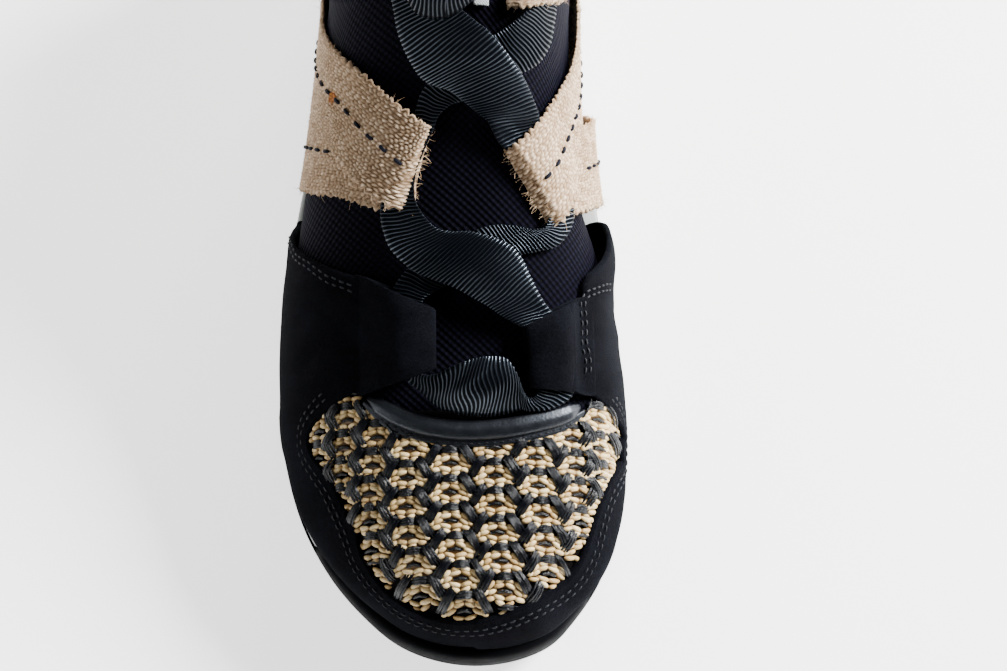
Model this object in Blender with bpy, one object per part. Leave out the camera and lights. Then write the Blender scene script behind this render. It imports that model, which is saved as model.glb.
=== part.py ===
"""Sport sandal, right shoe: a knitted inner bootie on a lugged sole, a suede mudguard round a woven
toe panel, webbing straps with loops, and a wide ribbon lace. Sizes are in millimetres until a mesh
is made, where MM turns them into metres. Toe towards -Y, heel towards +Y, medial side +X."""

import math

import bpy
import numpy as np
from mathutils import Vector
from mathutils.bvhtree import BVHTree

MM = 0.001
LENGTH = 268.0  # outsole, toe to heel
GAP = 0.3  # between pieces that meet
LATERAL, MEDIAL = -1, 1
# Sole, seen from above. s runs from the toe tip (0) to the back of the heel (LENGTH).
SOLE_OUTLINE = (  # s, lateral edge x, medial edge x
    (0.0, 6.0, 6.0),
    (5.0, -14.5, 26.0),
    (14.0, -26.0, 35.0),
    (27.0, -37.0, 43.0),
    (44.0, -46.0, 48.5),
    (63.0, -51.0, 50.5),
    (85.0, -52.2, 49.5),
    (108.0, -51.5, 46.8),
    (130.0, -48.5, 43.3),
    (150.0, -45.0, 40.0),
    (175.0, -41.0, 37.0),
    (200.0, -38.0, 35.5),
    (225.0, -36.5, 34.5),
    (245.0, -32.5, 30.5),
    (260.0, -21.5, 19.5),
    (268.0, -1.0, -1.0),
)
SOLE_LEVELS = (  # s, ground side z, top of the outsole z, top of the midsole z
    (0.0, 9.5, 14.0, 19.5),
    (12.0, 5.6, 10.2, 17.5),
    (28.0, 2.4, 7.2, 16.2),
    (45.0, 0.4, 5.4, 15.6),
    (58.0, 0.0, 5.0, 15.6),
    (98.0, 0.0, 5.0, 17.5),
    (125.0, 1.4, 6.4, 20.6),
    (155.0, 1.8, 6.8, 24.6),
    (182.0, 0.0, 5.0, 27.4),
    (252.0, 0.0, 5.0, 30.0),
    (262.0, 1.6, 6.2, 30.6),
    (268.0, 3.4, 7.6, 31.0),
)
INSOLE_THICK = 2.5
# The form that the upper is made on: a section for each row, from the feather line on the sole's
# edge up to the ridge of the foot or, behind the tongue, to the collar.
FORM_SECTIONS = (  # feather s, top s, top half width, top z, wall straightness
    (0.0, 27.0, 0.0, 43.0, 0.0),
    (12.0, 31.0, 0.0, 44.5, 0.0),
    (27.0, 41.0, 0.0, 47.0, 0.0),
    (44.0, 52.0, 0.0, 50.0, 0.0),
    (63.0, 66.0, 0.0, 54.5, 0.0),
    (85.0, 86.0, 0.0, 62.0, 0.0),
    (108.0, 109.0, 0.0, 71.5, 0.0),
    (130.0, 130.5, 0.0, 82.0, 0.0),
    (150.0, 151.0, 0.0, 95.0, 0.0),
    (163.0, 166.0, 0.0, 108.0, 0.05),
    (173.0, 177.5, 0.0, 120.0, 0.12),
    (181.0, 187.0, 0.0, 130.5, 0.25),
    (187.0, 191.0, 13.0, 129.0, 0.4),
    (194.0, 198.0, 22.5, 119.0, 0.62),
    (204.0, 208.0, 28.5, 106.0, 0.85),
    (220.0, 222.0, 30.0, 97.0, 1.0),
    (240.0, 239.0, 27.0, 95.0, 1.0),
    (254.0, 251.5, 19.5, 98.5, 1.0),
    (263.0, 257.5, 11.0, 102.0, 1.0),
    (268.0, 260.0, 0.0, 103.0, 1.0),
)
SPINE = (  # s, x of the ridge of the foot
    (0.0, 6.0),
    (30.0, 6.5),
    (60.0, 7.0),
    (97.0, 6.0),
    (135.0, 3.5),
    (170.0, 1.0),
    (200.0, -1.0),
    (268.0, -1.0),
)
FEATHER_INSET = (  # s, the form's foot inside the lateral and the medial edge of the sole
    (0.0, 8.0, 8.0),
    (20.0, 7.4, 7.4),
    (48.0, 5.8, 5.6),
    (112.0, 5.2, 5.4),
    (132.0, 4.8, 8.0),
    (160.0, 4.6, 7.0),
    (200.0, 4.6, 5.2),
    (268.0, 5.2, 5.2),
)
WALL_BULGE = (  # s, how far the lateral and the medial wall swell past their foot
    (0.0, 1.2, 1.2),
    (40.0, 2.2, 2.2),
    (100.0, 2.6, 2.6),
    (140.0, 2.0, 2.4),
    (185.0, 2.8, 3.6),
    (225.0, 3.2, 3.6),
    (268.0, 3.2, 3.2),
)
SECTION_SQUARENESS = 0.86  # 1 is an ellipse, less is boxier
SOLE_TURNS = np.linspace(0, 2 * math.pi, 65)[:-1]
TOE_BUMPER = 3.2  # thickness of the outsole's wall round the toe
BUMPER_END = {LATERAL: 34.0, MEDIAL: 20.0}
SOLE_SIDE = (  # share of the midsole's height, inset
    (0.0, 0.8),
    (0.30, 0.2),
    (0.46, 0.2),
    (0.52, 1.1),
    (0.62, 1.1),
    (0.68, 0.2),
    (1.0, 0.9),
)
OUTSOLE_BEVEL = (1.6, 1.8)  # inset and height of the outsole's lower edge
LUG_GROOVE = (2.6, 2.2)  # width along the sole, and depth
LUG_PITCH = 12.0
FORE_LUGS = (22.0, 118.0)  # first and last groove under the ball of the foot
HEEL_LUGS = (176.0, 258.0)
BUMPER_RISE = (  # height over the outsole's top, how far it leans in
    (-2.0, 0.0),
    (5.0, -0.1),
    (9.0, 0.3),
    (11.0, 1.0),
)
RIM_BAND = 0.5  # height over its foot in which a shell's wall stays upright
FOOT_BAND = 0.9  # height under which a shell's edge is set level with what it stands on
BOOTIE_WALL = 1.8
# Mudguard and toe panel, cut from the form's own shell.
MUDGUARD = (0.5, 2.4)  # inner and outer offset from the form
PANEL = (0.5, 1.7)  # inner and outer offset from the form, without the strands
WINDOW = (  # s, lateral edge x, medial edge x of the opening for the toe panel
    (10.3, 4.0, 4.0),
    (12.5, -7.5, 15.0),
    (16.0, -14.0, 22.5),
    (22.0, -20.5, 30.0),
    (28.0, -24.8, 34.3),
    (34.0, -27.0, 37.0),
    (40.0, -29.7, 39.0),
    (48.0, -33.5, 42.0),
    (54.0, -37.5, 44.7),
    (58.0, -40.0, 46.0),
    (63.0, -40.5, 46.3),
    (67.0, -37.0, 45.6),
    (70.5, -32.0, 42.0),
    (72.5, -28.0, 38.5),
)
PIPING = (  # x, s of the rolled edge's middle, its width
    (-25.8, 71.0, 2.6),
    (-21.0, 68.2, 4.6),
    (-13.5, 64.2, 5.4),
    (-5.5, 61.8, 5.6),
    (4.0, 60.8, 5.6),
    (12.5, 61.2, 5.6),
    (21.0, 62.8, 5.6),
    (29.0, 65.2, 5.4),
    (34.8, 68.4, 4.4),
    (36.8, 70.0, 2.8),
)
PIPING_LEAN = 1.1  # how far the rolled edge leans over the toe panel, and its gap
PIPING_TRIM = 1.5  # its ends stop this far inside its first and last row
PIPING_FLATNESS = 0.62  # its height over its width
OVERLAY_LIFT = 0.5  # of what is laid on the form, off the form
THROAT = {LATERAL: -22.8, MEDIAL: 35.4}  # x of the mudguard's edges beside the lace tunnels
THROAT_FRONT = 74.5  # s where the opening for the lace starts
GUARD_REACH = 136.0  # s of the furthest point that the mudguard is cut from
REAR_EDGE = {  # s, z of the mudguard's free rear edges, seen from the side
    LATERAL: ((95.0, 70.0), (97.5, 66.0), (102.0, 62.5), (110.0, 54.0),
              (119.0, 41.0), (127.0, 28.0), (131.0, 16.0)),
    MEDIAL: ((93.0, 70.0), (96.5, 62.0), (103.0, 57.0), (112.0, 49.0),
             (120.0, 42.5), (125.5, 35.0), (129.0, 16.0)),
}
WING_STAND_OFF = {LATERAL: 0.6, MEDIAL: 4.0}  # how far the rear ends of the mudguard stand out
WING_START, WING_EASE = 98.0, 24.0  # s where they start to, and over how much of the length
WING_FOOT_Z, WING_FOOT_EASE = 26.0, 12.0  # z up to which they stay on the sole, and the rise above it
# Weave of the toe panel: blocks in half-offset columns, framed by a zigzag of darker strands.
BLOCK_PITCH = (12.2, 8.2)  # across and along
BLOCK_ORIGIN = (-0.6, 21.3)  # x, s of one block's middle
STRAND_RAISE = 0.7
BLOCK_RAISE = 0.35
BELOW_FORM = 0.0  # z of a place that the form doesn't cover
# Folded suede tunnels for the lace, one each side of the throat.
TUNNEL_HALF_WIDTH = {LATERAL: 8.9, MEDIAL: 7.6}
TUNNEL_HALF_HEIGHT = 3.6
TUNNEL_WALL = 1.2
TUNNELS = {  # x, s of the tunnel's middle at its lower and upper end, slant of the upper mouth
    LATERAL: ((-13.3, 76.0), (-13.2, 96.0), -2.0),
    MEDIAL: ((27.3, 72.0), (25.6, 92.5), 4.0),
}
# Webbing straps. A strap's rows are its middle's x, s, z and how far it lifts off the form; the
# nearest place on the form is taken for x, s, z.
WEBBING_WIDTH = 25.0
UNDER_WIDTH = 24.0  # of the layer under the lace
WEBBING_THICK = 1.5
STRAPS = {  # x, s, z, lift: the strap over the lace, from its loop back to the sole, and the one under it
    "front_lateral": (
        ((-9.4, 125.9, 86.0, 1.9), (-11.2, 126.5, 85.5, 4.3), (-13.2, 127.2, 85.0, 5.0),
         (-17.4, 129.2, 84.0, 5.1), (-21.8, 132.4, 82.0, 4.4), (-27.0, 138.0, 80.0, 2.7),
         (-32.5, 145.6, 77.0, 1.6), (-36.5, 155.0, 70.0, 1.6), (-39.0, 167.0, 60.0, 1.8),
         (-40.5, 180.0, 50.0, 2.2), (-40.0, 193.0, 39.0, 2.4), (-38.5, 202.5, 31.5, 1.6)),
        ((-10.2, 126.2, 82.0, 1.2), (-16.0, 127.6, 80.0, 1.2), (-24.0, 130.8, 78.0, 1.3),
         (-31.0, 134.2, 74.0, 1.5), (-37.5, 138.5, 64.0, 2.0), (-42.5, 144.0, 51.0, 2.4),
         (-44.5, 149.5, 38.0, 2.2), (-44.0, 154.0, 27.6, 1.4)),
    ),
    "front_medial": (
        ((16.8, 124.0, 83.0, 1.9), (18.5, 124.8, 82.0, 4.3), (20.4, 125.8, 81.0, 5.0),
         (24.2, 128.2, 78.0, 5.1), (27.8, 131.8, 76.0, 4.4), (31.6, 137.6, 72.0, 2.9),
         (34.6, 145.6, 67.0, 2.4), (37.0, 155.0, 60.0, 2.6), (38.4, 167.0, 52.0, 2.8),
         (38.6, 179.0, 44.0, 2.8), (37.6, 190.0, 36.5, 2.4), (36.4, 198.0, 31.0, 1.6)),
        ((17.6, 124.4, 79.0, 1.2), (23.0, 126.8, 76.0, 1.2), (29.0, 130.2, 71.0, 1.6),
         (33.6, 134.0, 63.0, 3.2), (37.4, 138.6, 53.0, 5.4), (39.4, 143.6, 42.0, 6.4),
         (39.2, 148.4, 32.0, 5.0), (38.0, 151.4, 26.6, 3.4)),
    ),
    "ankle_lateral": (
        ((-11.0, 174.5, 116.0, 1.9), (-12.7, 175.6, 114.6, 4.7), (-14.6, 176.8, 113.0, 5.7),
         (-18.0, 179.6, 110.0, 6.1), (-21.6, 183.4, 106.0, 5.4), (-25.6, 188.8, 99.0, 3.0),
         (-29.6, 196.0, 88.0, 1.7), (-32.6, 207.0, 75.0, 1.6), (-34.6, 218.0, 61.0, 1.8),
         (-34.4, 228.5, 47.0, 2.0), (-32.6, 236.0, 36.0, 1.4)),
        ((-11.8, 175.0, 112.0, 1.2), (-16.6, 178.2, 108.0, 1.4), (-21.6, 183.0, 102.0, 1.7),
         (-26.4, 190.0, 96.0, 1.7)),
    ),
    "ankle_medial": (
        ((14.6, 171.6, 114.0, 1.9), (16.2, 172.7, 112.2, 4.3), (18.0, 173.9, 110.0, 5.0),
         (21.2, 176.8, 106.0, 5.1), (24.0, 181.0, 101.0, 4.4), (27.2, 187.2, 94.0, 2.6),
         (30.4, 195.2, 83.0, 1.7), (32.8, 206.0, 71.0, 1.6), (34.0, 217.5, 58.0, 1.8),
         (33.2, 228.0, 45.0, 2.0), (31.4, 235.0, 36.0, 1.4)),
        ((15.4, 172.2, 110.0, 1.2), (19.8, 175.4, 105.0, 1.2), (24.0, 180.4, 98.0, 1.3),
         (27.8, 188.4, 91.0, 1.4)),
    ),
}
LOOP_EASING = 1.5  # stations lie closer in the loop than down the side
# The ribbon lace in two halves that join at the throat bar and in the slack loop at the top. A row
# is a station: x, s and lift off the form of the left and of the right selvage, seen along the way
# from the bar, and how far the ribbon bows up between them.
RIBBON_THICK = 0.9
LACE_FROM_MEDIAL_TUNNEL = (
    (4.6, 80.3, 9.0, 4.6, 65.3, 3.4, 2.5),
    (10.0, 81.0, 9.4, 10.0, 65.0, 3.4, 2.5),
    (14.2, 80.2, 8.6, 15.0, 65.8, 3.4, 2.0),
    (16.8, 76.0, 6.8, 18.4, 66.8, 3.4, 1.2),
    (18.9, 70.8, 4.8, 20.6, 66.6, 3.6, 0.5),
    (21.8, 69.9, 4.2, 26.2, 67.4, 4.0, 0.2),
    (23.2, 73.0, 4.1, 31.0, 71.0, 4.1, 0.0),
    (23.0, 78.0, 4.1, 31.2, 77.5, 4.1, 0.0),
    (22.4, 84.0, 4.1, 30.6, 85.0, 4.1, 0.0),
    (21.4, 87.5, 4.1, 29.6, 91.0, 4.1, 0.0),
    (18.8, 90.4, 4.5, 26.6, 96.2, 4.5, 0.3),
    (13.5, 92.4, 4.9, 23.0, 99.2, 5.2, 1.0),
    (6.5, 95.4, 4.9, 18.8, 104.8, 5.6, 1.5),
    (0.0, 98.4, 4.9, 14.0, 108.6, 6.0, 1.5),
    (-5.5, 101.0, 4.7, 7.5, 109.6, 5.9, 1.2),
    (-11.0, 103.6, 4.3, 0.5, 110.2, 5.5, 1.0),
    (-16.4, 106.8, 3.9, -6.5, 110.6, 5.0, 0.8),
    (-20.4, 111.0, 3.5, -12.4, 111.4, 4.0, 0.4),
    (-22.4, 115.2, 3.1, -17.6, 113.6, 3.1, 0.0),
    (-20.2, 122.6, 3.0, -15.4, 121.0, 3.0, 0.0),
    (-18.0, 129.2, 3.0, -13.2, 127.6, 3.0, 0.0),
    (-15.8, 135.8, 3.0, -11.0, 134.2, 3.0, 0.0),
    (-14.2, 142.0, 3.2, -8.8, 140.6, 3.2, 0.1),
    (-11.2, 147.0, 3.4, -3.0, 141.8, 3.4, 0.2),
    (-7.0, 150.6, 3.6, 1.8, 143.0, 3.6, 0.3),
    (-1.0, 153.6, 3.6, 7.2, 145.0, 3.6, 0.4),
    (5.4, 156.4, 3.6, 12.6, 148.0, 3.6, 0.4),
    (11.0, 158.6, 3.8, 17.6, 151.0, 3.8, 0.4),
    (16.0, 159.8, 3.8, 22.4, 153.6, 3.8, 0.3),
    (20.4, 160.2, 3.5, 26.2, 156.8, 3.5, 0.2),
    (23.6, 161.0, 3.2, 28.4, 160.6, 3.2, 0.0),
    (24.4, 163.0, 3.0, 28.0, 165.2, 3.0, 0.0),
    (21.5, 167.4, 3.0, 25.1, 169.8, 3.0, 0.0),
    (19.6, 173.0, 3.0, 22.8, 175.3, 3.0, 0.0),
    (17.9, 178.8, 3.0, 20.9, 180.9, 3.0, 0.0),
    (16.0, 184.6, 3.1, 19.0, 185.8, 3.1, 0.0),
    (14.0, 188.4, 6.4, 18.0, 188.8, 6.8, 0.2),
    (12.6, 187.8, 10.4, 18.0, 187.8, 11.0, 0.4),
    (11.0, 182.0, 12.8, 17.4, 181.0, 12.4, 0.6),
    (9.0, 174.4, 13.2, 15.0, 172.2, 12.4, 0.8),
    (6.6, 168.8, 13.6, 10.6, 163.6, 10.6, 0.8),
    (4.0, 166.0, 14.0, 5.6, 159.6, 9.8, 0.8),
    (1.0, 165.0, 14.0, 1.0, 158.2, 9.4, 0.8),
)
LACE_FROM_LATERAL_TUNNEL = (
    (6.2, 65.2, 3.0, 6.2, 80.2, 8.6, 2.5),
    (0.0, 66.2, 3.4, 0.6, 78.6, 8.8, 2.2),
    (-4.0, 67.8, 3.4, -3.6, 76.8, 7.5, 1.6),
    (-8.0, 70.2, 3.6, -7.6, 74.4, 5.8, 0.8),
    (-12.6, 71.6, 3.8, -9.8, 73.8, 4.8, 0.3),
    (-16.6, 74.6, 4.1, -9.6, 76.6, 4.3, 0.1),
    (-17.6, 82.0, 4.1, -9.4, 82.6, 4.1, 0.0),
    (-17.4, 90.0, 4.1, -9.2, 90.0, 4.1, 0.0),
    (-15.6, 99.6, 4.2, -8.0, 96.6, 4.2, 0.0),
    (-11.6, 104.2, 4.4, -2.6, 98.6, 4.5, 0.2),
    (-4.5, 108.0, 5.0, 4.6, 101.2, 5.3, 1.1),
    (3.5, 111.2, 5.0, 11.0, 104.0, 5.4, 1.3),
    (11.4, 113.4, 4.4, 17.0, 106.6, 4.6, 0.8),
    (17.2, 113.2, 3.9, 22.0, 107.4, 3.9, 0.4),
    (21.4, 112.2, 3.5, 26.2, 107.8, 3.5, 0.2),
    (24.2, 112.6, 3.2, 29.8, 110.6, 3.2, 0.0),
    (25.0, 114.8, 3.0, 29.8, 115.6, 3.0, 0.0),
    (23.6, 118.6, 3.0, 27.8, 120.6, 3.0, 0.0),
    (19.8, 125.6, 3.0, 24.0, 127.6, 3.0, 0.0),
    (17.4, 131.8, 3.0, 21.4, 133.8, 3.0, 0.0),
    (15.9, 137.2, 3.2, 19.7, 139.4, 3.2, 0.0),
    (12.4, 139.4, 4.3, 22.0, 146.0, 4.4, 0.6),
    (8.4, 141.8, 4.9, 20.6, 150.0, 5.4, 1.0),
    (3.0, 144.8, 5.0, 17.2, 154.0, 6.2, 1.6),
    (-3.0, 147.6, 4.9, 13.0, 157.6, 6.4, 2.0),
    (-8.0, 149.8, 4.7, 8.5, 160.8, 6.4, 2.0),
    (-11.8, 153.5, 4.4, 3.0, 163.4, 6.0, 1.6),
    (-15.0, 157.6, 4.0, -3.8, 165.0, 5.2, 1.2),
    (-18.2, 160.6, 3.6, -11.4, 164.4, 4.2, 0.6),
    (-21.4, 162.6, 3.2, -17.4, 161.6, 3.2, 0.1),
    (-24.0, 167.4, 3.0, -20.4, 165.2, 3.0, 0.0),
    (-22.0, 172.6, 3.0, -18.6, 170.4, 3.0, 0.0),
    (-19.4, 177.8, 3.2, -17.0, 176.2, 3.2, 0.0),
    (-17.1, 182.9, 3.7, -14.9, 181.6, 3.7, 0.0),
    (-16.4, 187.6, 4.0, -12.8, 186.2, 3.8, 0.0),
    (-16.4, 189.8, 7.4, -11.4, 189.0, 7.0, 0.2),
    (-16.2, 188.4, 11.8, -9.6, 187.8, 11.2, 0.4),
    (-15.2, 182.0, 13.0, -7.8, 181.8, 13.2, 0.6),
    (-13.2, 172.4, 12.6, -6.0, 174.0, 13.4, 0.8),
    (-8.6, 163.8, 10.8, -2.4, 168.6, 13.6, 0.8),
    (-3.2, 159.6, 9.4, -0.4, 166.4, 13.8, 0.8),
    (2.4, 158.0, 9.0, 2.4, 165.0, 13.4, 0.8),
)
TONGUE_REACH = 181.0  # as far back as the form has a ridge
TAB_ACROSS = (4.0, 10.4)  # x of the sides of the tab on the tongue
TAB_ALONG = (158.0, 169.0)  # s of its front and back
TAB_THICK = 0.9


def rows_of(table):
    return np.array(table, float).T


def slopes_of(x, y):
    """Slopes at the knots that keep a curve through them from overshooting."""
    step = np.diff(y) / np.diff(x)
    slopes = np.zeros(len(x))
    for i in range(1, len(x) - 1):
        if step[i - 1] * step[i] > 0:
            slopes[i] = 2 * step[i - 1] * step[i] / (step[i - 1] + step[i])
    slopes[0], slopes[-1] = step[0], step[-1]
    return slopes


def curve(x, y, slopes=None):
    """A smooth function through the knots (x, y)."""
    x, y = np.asarray(x, float), np.asarray(y, float)
    slopes = slopes_of(x, y) if slopes is None else slopes

    def at(where):
        where = np.clip(where, x[0], x[-1])
        i = np.clip(np.searchsorted(x, where, side="right") - 1, 0, len(x) - 2)
        width = x[i + 1] - x[i]
        t = (where - x[i]) / width
        start = (1 + 2 * t) * (1 - t) ** 2 * y[i] + t * (1 - t) ** 2 * width * slopes[i]
        end = t * t * (3 - 2 * t) * y[i + 1] - t * t * (1 - t) * width * slopes[i + 1]
        return start + end

    return at


def turn_of(s):
    """The angle round the outline's half at which the outline is s from the toe."""
    return np.arccos(np.clip(1 - 2 * np.asarray(s, float) / LENGTH, -1, 1))


def s_of(turn):
    return LENGTH * (1 - np.cos(turn)) / 2


def closed_outline():
    """x of the sole's edge for a turn from 0 at the toe, past the heel at pi, to 2 pi."""
    s, lateral, medial = rows_of(SOLE_OUTLINE)
    turn = turn_of(s)
    around = np.concatenate([turn, 2 * math.pi - turn[-2::-1]])
    x = np.concatenate([lateral, medial[-2::-1]])
    before, after = np.roll(x[:-1], 1), np.roll(x[:-1], -1)
    gap_before = np.roll(np.diff(around), 1)
    gap_after = np.diff(around)
    slopes = (after - before) / (gap_before + gap_after)
    return curve(around, x, np.append(slopes, slopes[0]))


def outline_point(turn, inset=0.0):
    """(x, s) of the sole's edge at a turn, moved inwards."""
    step = 1e-3
    ahead = np.array([edge_x((turn + step) % (2 * math.pi)), s_of(turn + step)])
    behind = np.array([edge_x((turn - step) % (2 * math.pi)), s_of(turn - step)])
    along = (ahead - behind) / np.linalg.norm(ahead - behind)
    inward = np.array([along[1], -along[0]])
    return np.array([edge_x(turn % (2 * math.pi)), s_of(turn)]) + inset * inward


def form_point(turn, rise):
    """A point (x, s, z) of the form. turn goes round the foot from the toe by the lateral side, and
    rise goes from 0 at the sole to 1 at the ridge or the collar."""
    half = turn if turn <= math.pi else 2 * math.pi - turn
    side = LATERAL if turn <= math.pi else MEDIAL
    near_s = s_of(half)
    foot = outline_point(turn, inset_at[side](near_s))
    foot_z = midsole_top_at(foot[1]) + INSOLE_THICK + GAP
    s_top = top_s_at(half)
    top = np.array([spine_at(s_top) + side * top_half_at(half), s_top])
    straight = straight_at(half)
    angle = rise * math.pi / 2
    across = (1 - straight) * (1 - math.cos(angle) ** SECTION_SQUARENESS) + straight * rise**2
    up = (1 - straight) * math.sin(angle) ** SECTION_SQUARENESS + straight * rise
    span = top - foot
    swell = bulge_at[side](near_s) * math.sin(math.pi * rise**0.6)
    plan = foot + across * span - swell * span / max(np.linalg.norm(span), 1.0)
    return np.array([plan[0], plan[1], foot_z + up * (top_z_at(half) - foot_z)])


def to_world(point):
    """Metres in the shoe's frame, whose origin lies under the middle of the sole's box."""
    x, s, z = point
    return ((x - middle_x) * MM, (s - LENGTH / 2) * MM, z * MM)


def sheet(grid, wrap=False):
    """Vertices and quads of a grid of points[i][j], with points that coincide made one."""
    grid = np.asarray(grid, float)
    rows, columns = grid.shape[:2]
    flat = grid.reshape(-1, 3)
    _, first, index = np.unique(np.round(flat, 3), axis=0, return_index=True, return_inverse=True)
    index = index.reshape(rows, columns)
    faces = []
    for i in range(rows if wrap else rows - 1):
        k = (i + 1) % rows
        for j in range(columns - 1):
            corners = [index[i, j], index[k, j], index[k, j + 1], index[i, j + 1]]
            corners = [c for n, c in enumerate(corners) if c != corners[n - 1]]
            if len(set(corners)) > 2:
                faces.append(corners)
    return flat[first], faces


def normals_of(points, faces):
    normals = np.zeros_like(points)
    for face in faces:
        corners = points[list(face)]
        middle = corners.mean(axis=0)
        for n, corner in enumerate(face):
            area = np.cross(corners[n] - middle, corners[(n + 1) % len(face)] - middle)
            normals[corner] += area
            normals[face[(n + 1) % len(face)]] += area
    return normals / np.linalg.norm(normals, axis=1, keepdims=True)


def thick(points, faces, inner, outer, normals=None):
    """A closed shell between two offsets from an open sheet."""
    normals = normals_of(points, faces) if normals is None else normals
    count = len(points)
    inner = np.broadcast_to(np.asarray(inner, float).reshape(-1, 1), (count, 1))
    outer = np.broadcast_to(np.asarray(outer, float).reshape(-1, 1), (count, 1))
    solid_points = np.concatenate([points + normals * outer, points + normals * inner])
    solid_faces = [tuple(face) for face in faces]
    solid_faces += [tuple(count + c for c in reversed(face)) for face in faces]
    edges = {}
    for face in faces:
        for n, corner in enumerate(face):
            edges[corner, face[(n + 1) % len(face)]] = True
    for a, b in edges:
        if (b, a) not in edges:
            solid_faces.append((b, a, count + a, count + b))
    return solid_points, solid_faces


def material(name, colour, roughness, metallic=0.0):
    made = bpy.data.materials.new(name)
    made.use_nodes = True
    shader = made.node_tree.nodes["Principled BSDF"]
    shader.inputs["Base Color"].default_value = (*colour, 1.0)
    shader.inputs["Roughness"].default_value = roughness
    shader.inputs["Metallic"].default_value = metallic
    return made


def solid(name, points, faces, look):
    """An object from points in millimetres."""
    mesh = bpy.data.meshes.new(name)
    mesh.from_pydata([to_world(p) for p in points], [], [tuple(int(c) for c in f) for f in faces])
    mesh.materials.append(look)
    made = bpy.data.objects.new(name, mesh)
    bpy.context.scene.collection.objects.link(made)
    made.parent = shoe
    mesh.shade_smooth()
    mesh.set_sharp_from_angle(angle=math.radians(40))
    return made


def form_sheet(turns, rises, skirt=False):
    """The form from the lateral side at the last turn, round the toe, to the medial side. It closes
    round the heel where the last turn is pi. A skirt goes on down past the insole."""
    whole = turns[-1] > math.pi - 1e-6
    around = list(turns[::-1]) + [2 * math.pi - t for t in (turns[1:-1] if whole else turns[1:])]
    grid = []
    for turn in around:
        column = [form_point(turn, rise) for rise in rises]
        if skirt:
            x, s, _ = column[0]
            column.insert(0, np.array([x, s, midsole_top_at(s) + GAP]))
        grid.append(column)
    return sheet(grid, wrap=whole)


def level_rim(points, normals):
    """Keeps a shell's foot flat on what it stands on."""
    for point, normal in zip(points, normals):
        over_foot = point[2] - midsole_top_at(point[1])
        if over_foot < INSOLE_THICK + GAP + RIM_BAND:
            normal[2] = 0.0
            normal /= np.linalg.norm(normal)
    return normals


def settled(shell, lift):
    """Sets the foot of a shell level with what it stands on, lift above the midsole."""
    points, faces = shell
    for point in points:
        floor_z = midsole_top_at(point[1]) + lift
        if point[2] < floor_z + FOOT_BAND:
            point[2] = floor_z
    return points, faces


def cut(target, cutter_points, cutter_faces, operation="DIFFERENCE", solver="EXACT"):
    """Cuts a solid with, or joins it to, another shape."""
    mesh = bpy.data.meshes.new(target.name + "_tool")
    mesh.from_pydata([to_world(p) for p in cutter_points], [], cutter_faces)
    tool = bpy.data.objects.new(target.name + "_tool", mesh)
    bpy.context.scene.collection.objects.link(tool)
    tool.hide_render = True
    tool.hide_set(True)
    tool.display_type = "WIRE"
    tool.parent = shoe
    modifier = target.modifiers.new("join" if operation == "UNION" else "cut", "BOOLEAN")
    modifier.operation = operation
    modifier.solver = solver
    modifier.object = tool
    return tool


def prism(outline, axis, low, high):
    """A prism over an outline. axis is the one that the outline leaves out: 0 for x, 2 for z."""
    count = len(outline)
    points = []
    for level in (low, high):
        for a, b in outline:
            points.append((level, a, b) if axis == 0 else (a, b, level))
    faces = [(i, (i + 1) % count, count + (i + 1) % count, count + i) for i in range(count)]
    faces += [tuple(range(count))[::-1], tuple(range(count, 2 * count))]
    area = sum(a[0] * b[1] - b[0] * a[1] for a, b in zip(outline, outline[1:] + outline[:1]))
    return points, faces if area > 0 else [face[::-1] for face in faces]


def ring_slab(rings):
    """A solid through closed rings of points, the first and last capped across the sole."""
    rings = np.asarray(rings, float)
    levels, count = rings.shape[:2]
    faces = []
    for level in range(levels - 1):
        for i in range(count):
            k = (i + 1) % count
            faces.append((level * count + i, (level + 1) * count + i,
                          (level + 1) * count + k, level * count + k))
    for level in (0, levels - 1):
        for i in range(count // 2):
            face = [i, i + 1, (count - i - 1) % count, (count - i) % count]
            face = [level * count + c for n, c in enumerate(face) if c != face[n - 1]]
            faces.append(tuple(face[::-1]) if level else tuple(face))
    return rings.reshape(-1, 3), faces


def side_of(turn):
    return LATERAL if turn <= math.pi else MEDIAL


def half_turn(turn):
    return turn if turn <= math.pi else 2 * math.pi - turn


def toe_share(turn):
    """1 where the bumper covers the toe, 0 along the sides and the heel."""
    s = s_of(half_turn(turn))
    return float(np.clip((BUMPER_END[side_of(turn)] + 7.0 - s) / 5.0, 0, 1))


def sole_ring(inset, z_at, toe_inset=0.0):
    ring = []
    for turn in SOLE_TURNS:
        moved = inset if np.isscalar(inset) else inset[side_of(turn)](s_of(half_turn(turn)))
        x, s = outline_point(turn, moved + toe_inset * toe_share(turn))
        ring.append((x, s, z_at(s)))
    return ring


def build_outsole():
    inset, height = OUTSOLE_BEVEL
    rings = [
        sole_ring(inset, ground_at),
        sole_ring(0.0, lambda s: ground_at(s) + height),
        sole_ring(0.0, outsole_top_at),
    ]
    outsole = solid("outsole", *ring_slab(rings), rubber)
    first = 2 * math.pi - turn_of(BUMPER_END[MEDIAL])
    turns = np.linspace(first, 2 * math.pi + turn_of(BUMPER_END[LATERAL]), 25)
    grid = []
    for turn in turns:
        s = s_of(turn)
        column = []
        for rise, lean in BUMPER_RISE:
            x, across = outline_point(turn % (2 * math.pi), 0.05 + max(lean, 0.0))
            column.append((x, across, outsole_top_at(across) + rise))
        grid.append(column)
    points, faces = sheet(grid)
    cut(outsole, *thick(points, [f[::-1] for f in faces], -TOE_BUMPER, 0.0), "UNION")
    width, depth = LUG_GROOVE
    for start, end in (FORE_LUGS, HEEL_LUGS):
        for s in np.arange(start, end, LUG_PITCH):
            floor_z = float(ground_at(s)) + depth
            outline = [(s, -5.0), (s + width, -5.0), (s + width, floor_z), (s, floor_z)]
            cut(outsole, *prism(outline, 0, -80.0, 80.0))
    return outsole


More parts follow.
